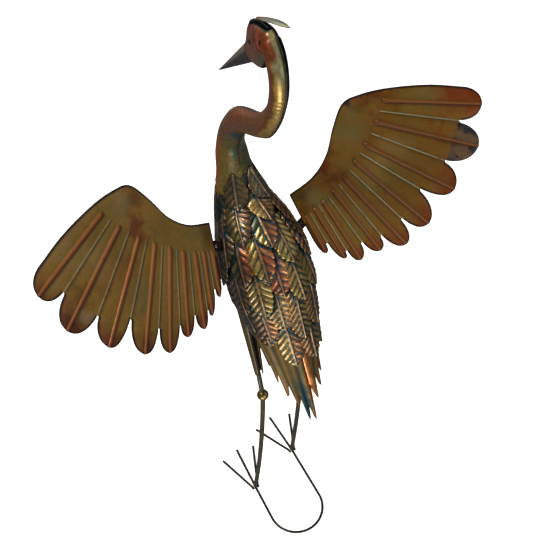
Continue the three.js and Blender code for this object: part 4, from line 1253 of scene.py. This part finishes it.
# painted shade: the thigh rods lie in the thigh's open slot, so they get a darker copy of the rod finish
shadedRodMetal = lacquer("shadedThighRodLacquer", {
    "colour": "2c2a22", "metal": 0.4, "rough": 0.45, "cloudColour": "3c3a28", "cloud": 0.5, "grain": 0.3})
ballMetal = lacquer("ballBrass", {
    "colour": "8d7442", "metal": 0.9, "rough": 0.3, "cloudColour": "4c4026", "cloud": 0.6, "cloudScale": 90,
    "grain": 0.3, "bump": 0.25})
thighMetal = lacquer("thighLacquer", {
    "colour": "55431d", "metal": 0.35, "rough": 0.42, "cloudColour": "453c1e", "cloud": 0.5, "cloudScale": 45,
    "grain": 0.25, "bump": 0.2})


def toeWay(degrees):
    return np.array([math.sin(math.radians(degrees)), -math.cos(math.radians(degrees)), 0])


def footPoint(side):
    return np.array([*legLook["foot"][side], legLook["wire"]], float)


def thighAxis(side):
    # the ankle, the way from it up to the hip, and how far that is
    ankle = np.array(ankles[side], float)
    hip = np.array(legLook["hip"], float) * (1 if side == "left" else -1, 1, 1)
    return ankle, unit(hip - ankle), np.linalg.norm(hip - ankle)


def endRounded(line, radius):
    # radii that close a wire's cut ends with a small round
    arc = arcOf(np.asarray(line))
    near = np.minimum(arc, arc[-1] - arc)
    return radius * np.sqrt(np.clip(1 - (1 - np.clip(near / (radius * 0.6), 0, 1)) ** 2, 0.12, 1))


def withEnds(line, radius):
    # extra points close to each end, so that the rounding has something to bend
    line = np.asarray(line, float)
    arc = arcOf(line)
    extra = np.array([0, 0.1, 0.25, 0.4, 0.6]) * radius
    at = np.unique(np.round(np.r_[extra, arc, arc[-1] - extra], 4))
    return sample(arc, line, at)


def hairpin():
    look = legLook
    cx, cy, radius = look["loop"]
    bend = [np.array([cx + radius * math.cos(a), cy + radius * math.sin(a), look["wire"]])
            for a in np.linspace(0, math.pi, 49)]
    ends = {side: footPoint(side) + toeWay(look["toes"][side]["middle"][0]) * look["toes"][side]["middle"][1]
            for side in ("left", "right")}
    return [ends["left"], footPoint("left"), *bend, footPoint("right"), ends["right"]]


def sideToe(side, name):
    look = legLook
    degrees, length = look["toes"][side][name]
    outward = math.copysign(1, degrees - look["toes"][side]["middle"][0])
    beside = [footPoint(side) + np.array([outward * (look["aside"] + x), y, 0]) for x, y in look["toeRoot"]]
    return [beside[0] + toeWay(degrees) * length, *beside]


def addWire(name, line, radius, material, node):
    line = withEnds(line, radius)
    sheetPiece(name, [tubeSheet(line, endRounded(line, radius), 12)], material, (node,))


addWire("groundWire", hairpin(), legLook["wire"], wireMetal, "ground_loop")
for side in ("left", "right"):
    for name in ("inner", "outer"):
        addWire(f"{side}{name.title()}Toe", sideToe(side, name), legLook["wire"], wireMetal,
                f"{side}_{name}_toe")
    ankle, way, span = thighAxis(side)
    inBall = legLook["ball"] - legLook["sunk"]
    foot = np.array([*legLook["foot"][side], 2 * legLook["wire"] + 2 * legLook["gap"]])
    top = ankle - unit(ankle - foot) * inBall
    t = np.linspace(0, 1, 24)[:, None]
    line = foot + (top - foot) * t + np.array([0, 1, 0]) * (4 * legLook["bow"] * t * (1 - t))
    line[:, 0:1] += legLook["shankAside"][side] * np.sin(math.pi * t) ** 0.6
    addWire(f"{side}Shank", line, legLook["rod"], rodMetal, f"{side}_shank")
    line = ankle + way * np.linspace(inBall, span * legLook["rodTop"], 16)[:, None]
    addWire(f"{side}ThighRod", line, legLook["rod"], shadedRodMetal, f"{side}_thigh_rod")


def ballSheet(side):
    # a turned ball with a low collar where each rod enters it
    ankle, way, _ = thighAxis(side)
    radius = legLook["ball"]
    turn = np.linspace(0.02, math.pi - 0.02, 40)
    level, wide = -np.cos(turn) * radius, np.sin(turn) * radius
    wide = wide + legLook["collar"] * np.exp(-(((np.abs(level) - radius * 0.9) / 0.7) ** 2))
    return tubeSheet(ankle + way * level[:, None], wide, 36, (0, 1, 0))


def thighSheet(side):
    # the rolled thigh, a cone that is open along the back
    look = legLook
    ankle, way, span = thighAxis(side)
    across = unit(np.array([1.0, 0, 0]) - way * way[0])
    back = unit(np.cross(across, way))
    if back[1] < 0:
        back = -back
    turn = math.radians(look["turn"] if side == "left" else -look["turn"])
    around = np.linspace(0, 1, 41)[None]
    up = np.linspace(0, 1, 40)[:, None]
    angle = turn + math.radians(look["slot"] / 2) + around * math.radians(360 - look["slot"])
    low, high = look["thighHalf"]
    radius = low + (high - low) * up + look["sheet"]
    level = look["thighStart"] + (span - look["thighStart"]) * up * look["thighTop"]
    ring = back * np.cos(angle)[..., None] + across * np.sin(angle)[..., None]
    points = ankle + np.array([look["thighAside"], 0, 0]) + way * level[..., None] + ring * radius[..., None]
    return {"points": points, "outward": ring}


for side in ("left", "right"):
    sheetPiece(f"{side}AnkleBall", [ballSheet(side)], ballMetal, (f"{side}_ankle_ball",))
for side in ("left", "right"):
    sheetPiece(f"{side}Thigh", [thighSheet(side)], thighMetal, (f"{side}_thigh_sheet",),
               legLook["sheet"])
print("legs and ground wire made")

# wing brackets
bracketMetal = lacquer("bracketLacquer", {
    "colour": "1d1a18", "metal": 0.5, "rough": 0.4, "cloudColour": "3a2c20", "cloud": 0.5, "grain": 0.3})
boltMetal = lacquer("boltZinc", {
    "colour": "3b3833", "metal": 0.8, "rough": 0.35, "cloudColour": "4f4c46", "cloud": 0.4, "grain": 0.2})
for side in ("left", "right"):
    finishNode(f"{side}_wing_tab", bracketMetal)
    finishNode(f"{side}_wing_bolt", boltMetal)
print("brackets finished")
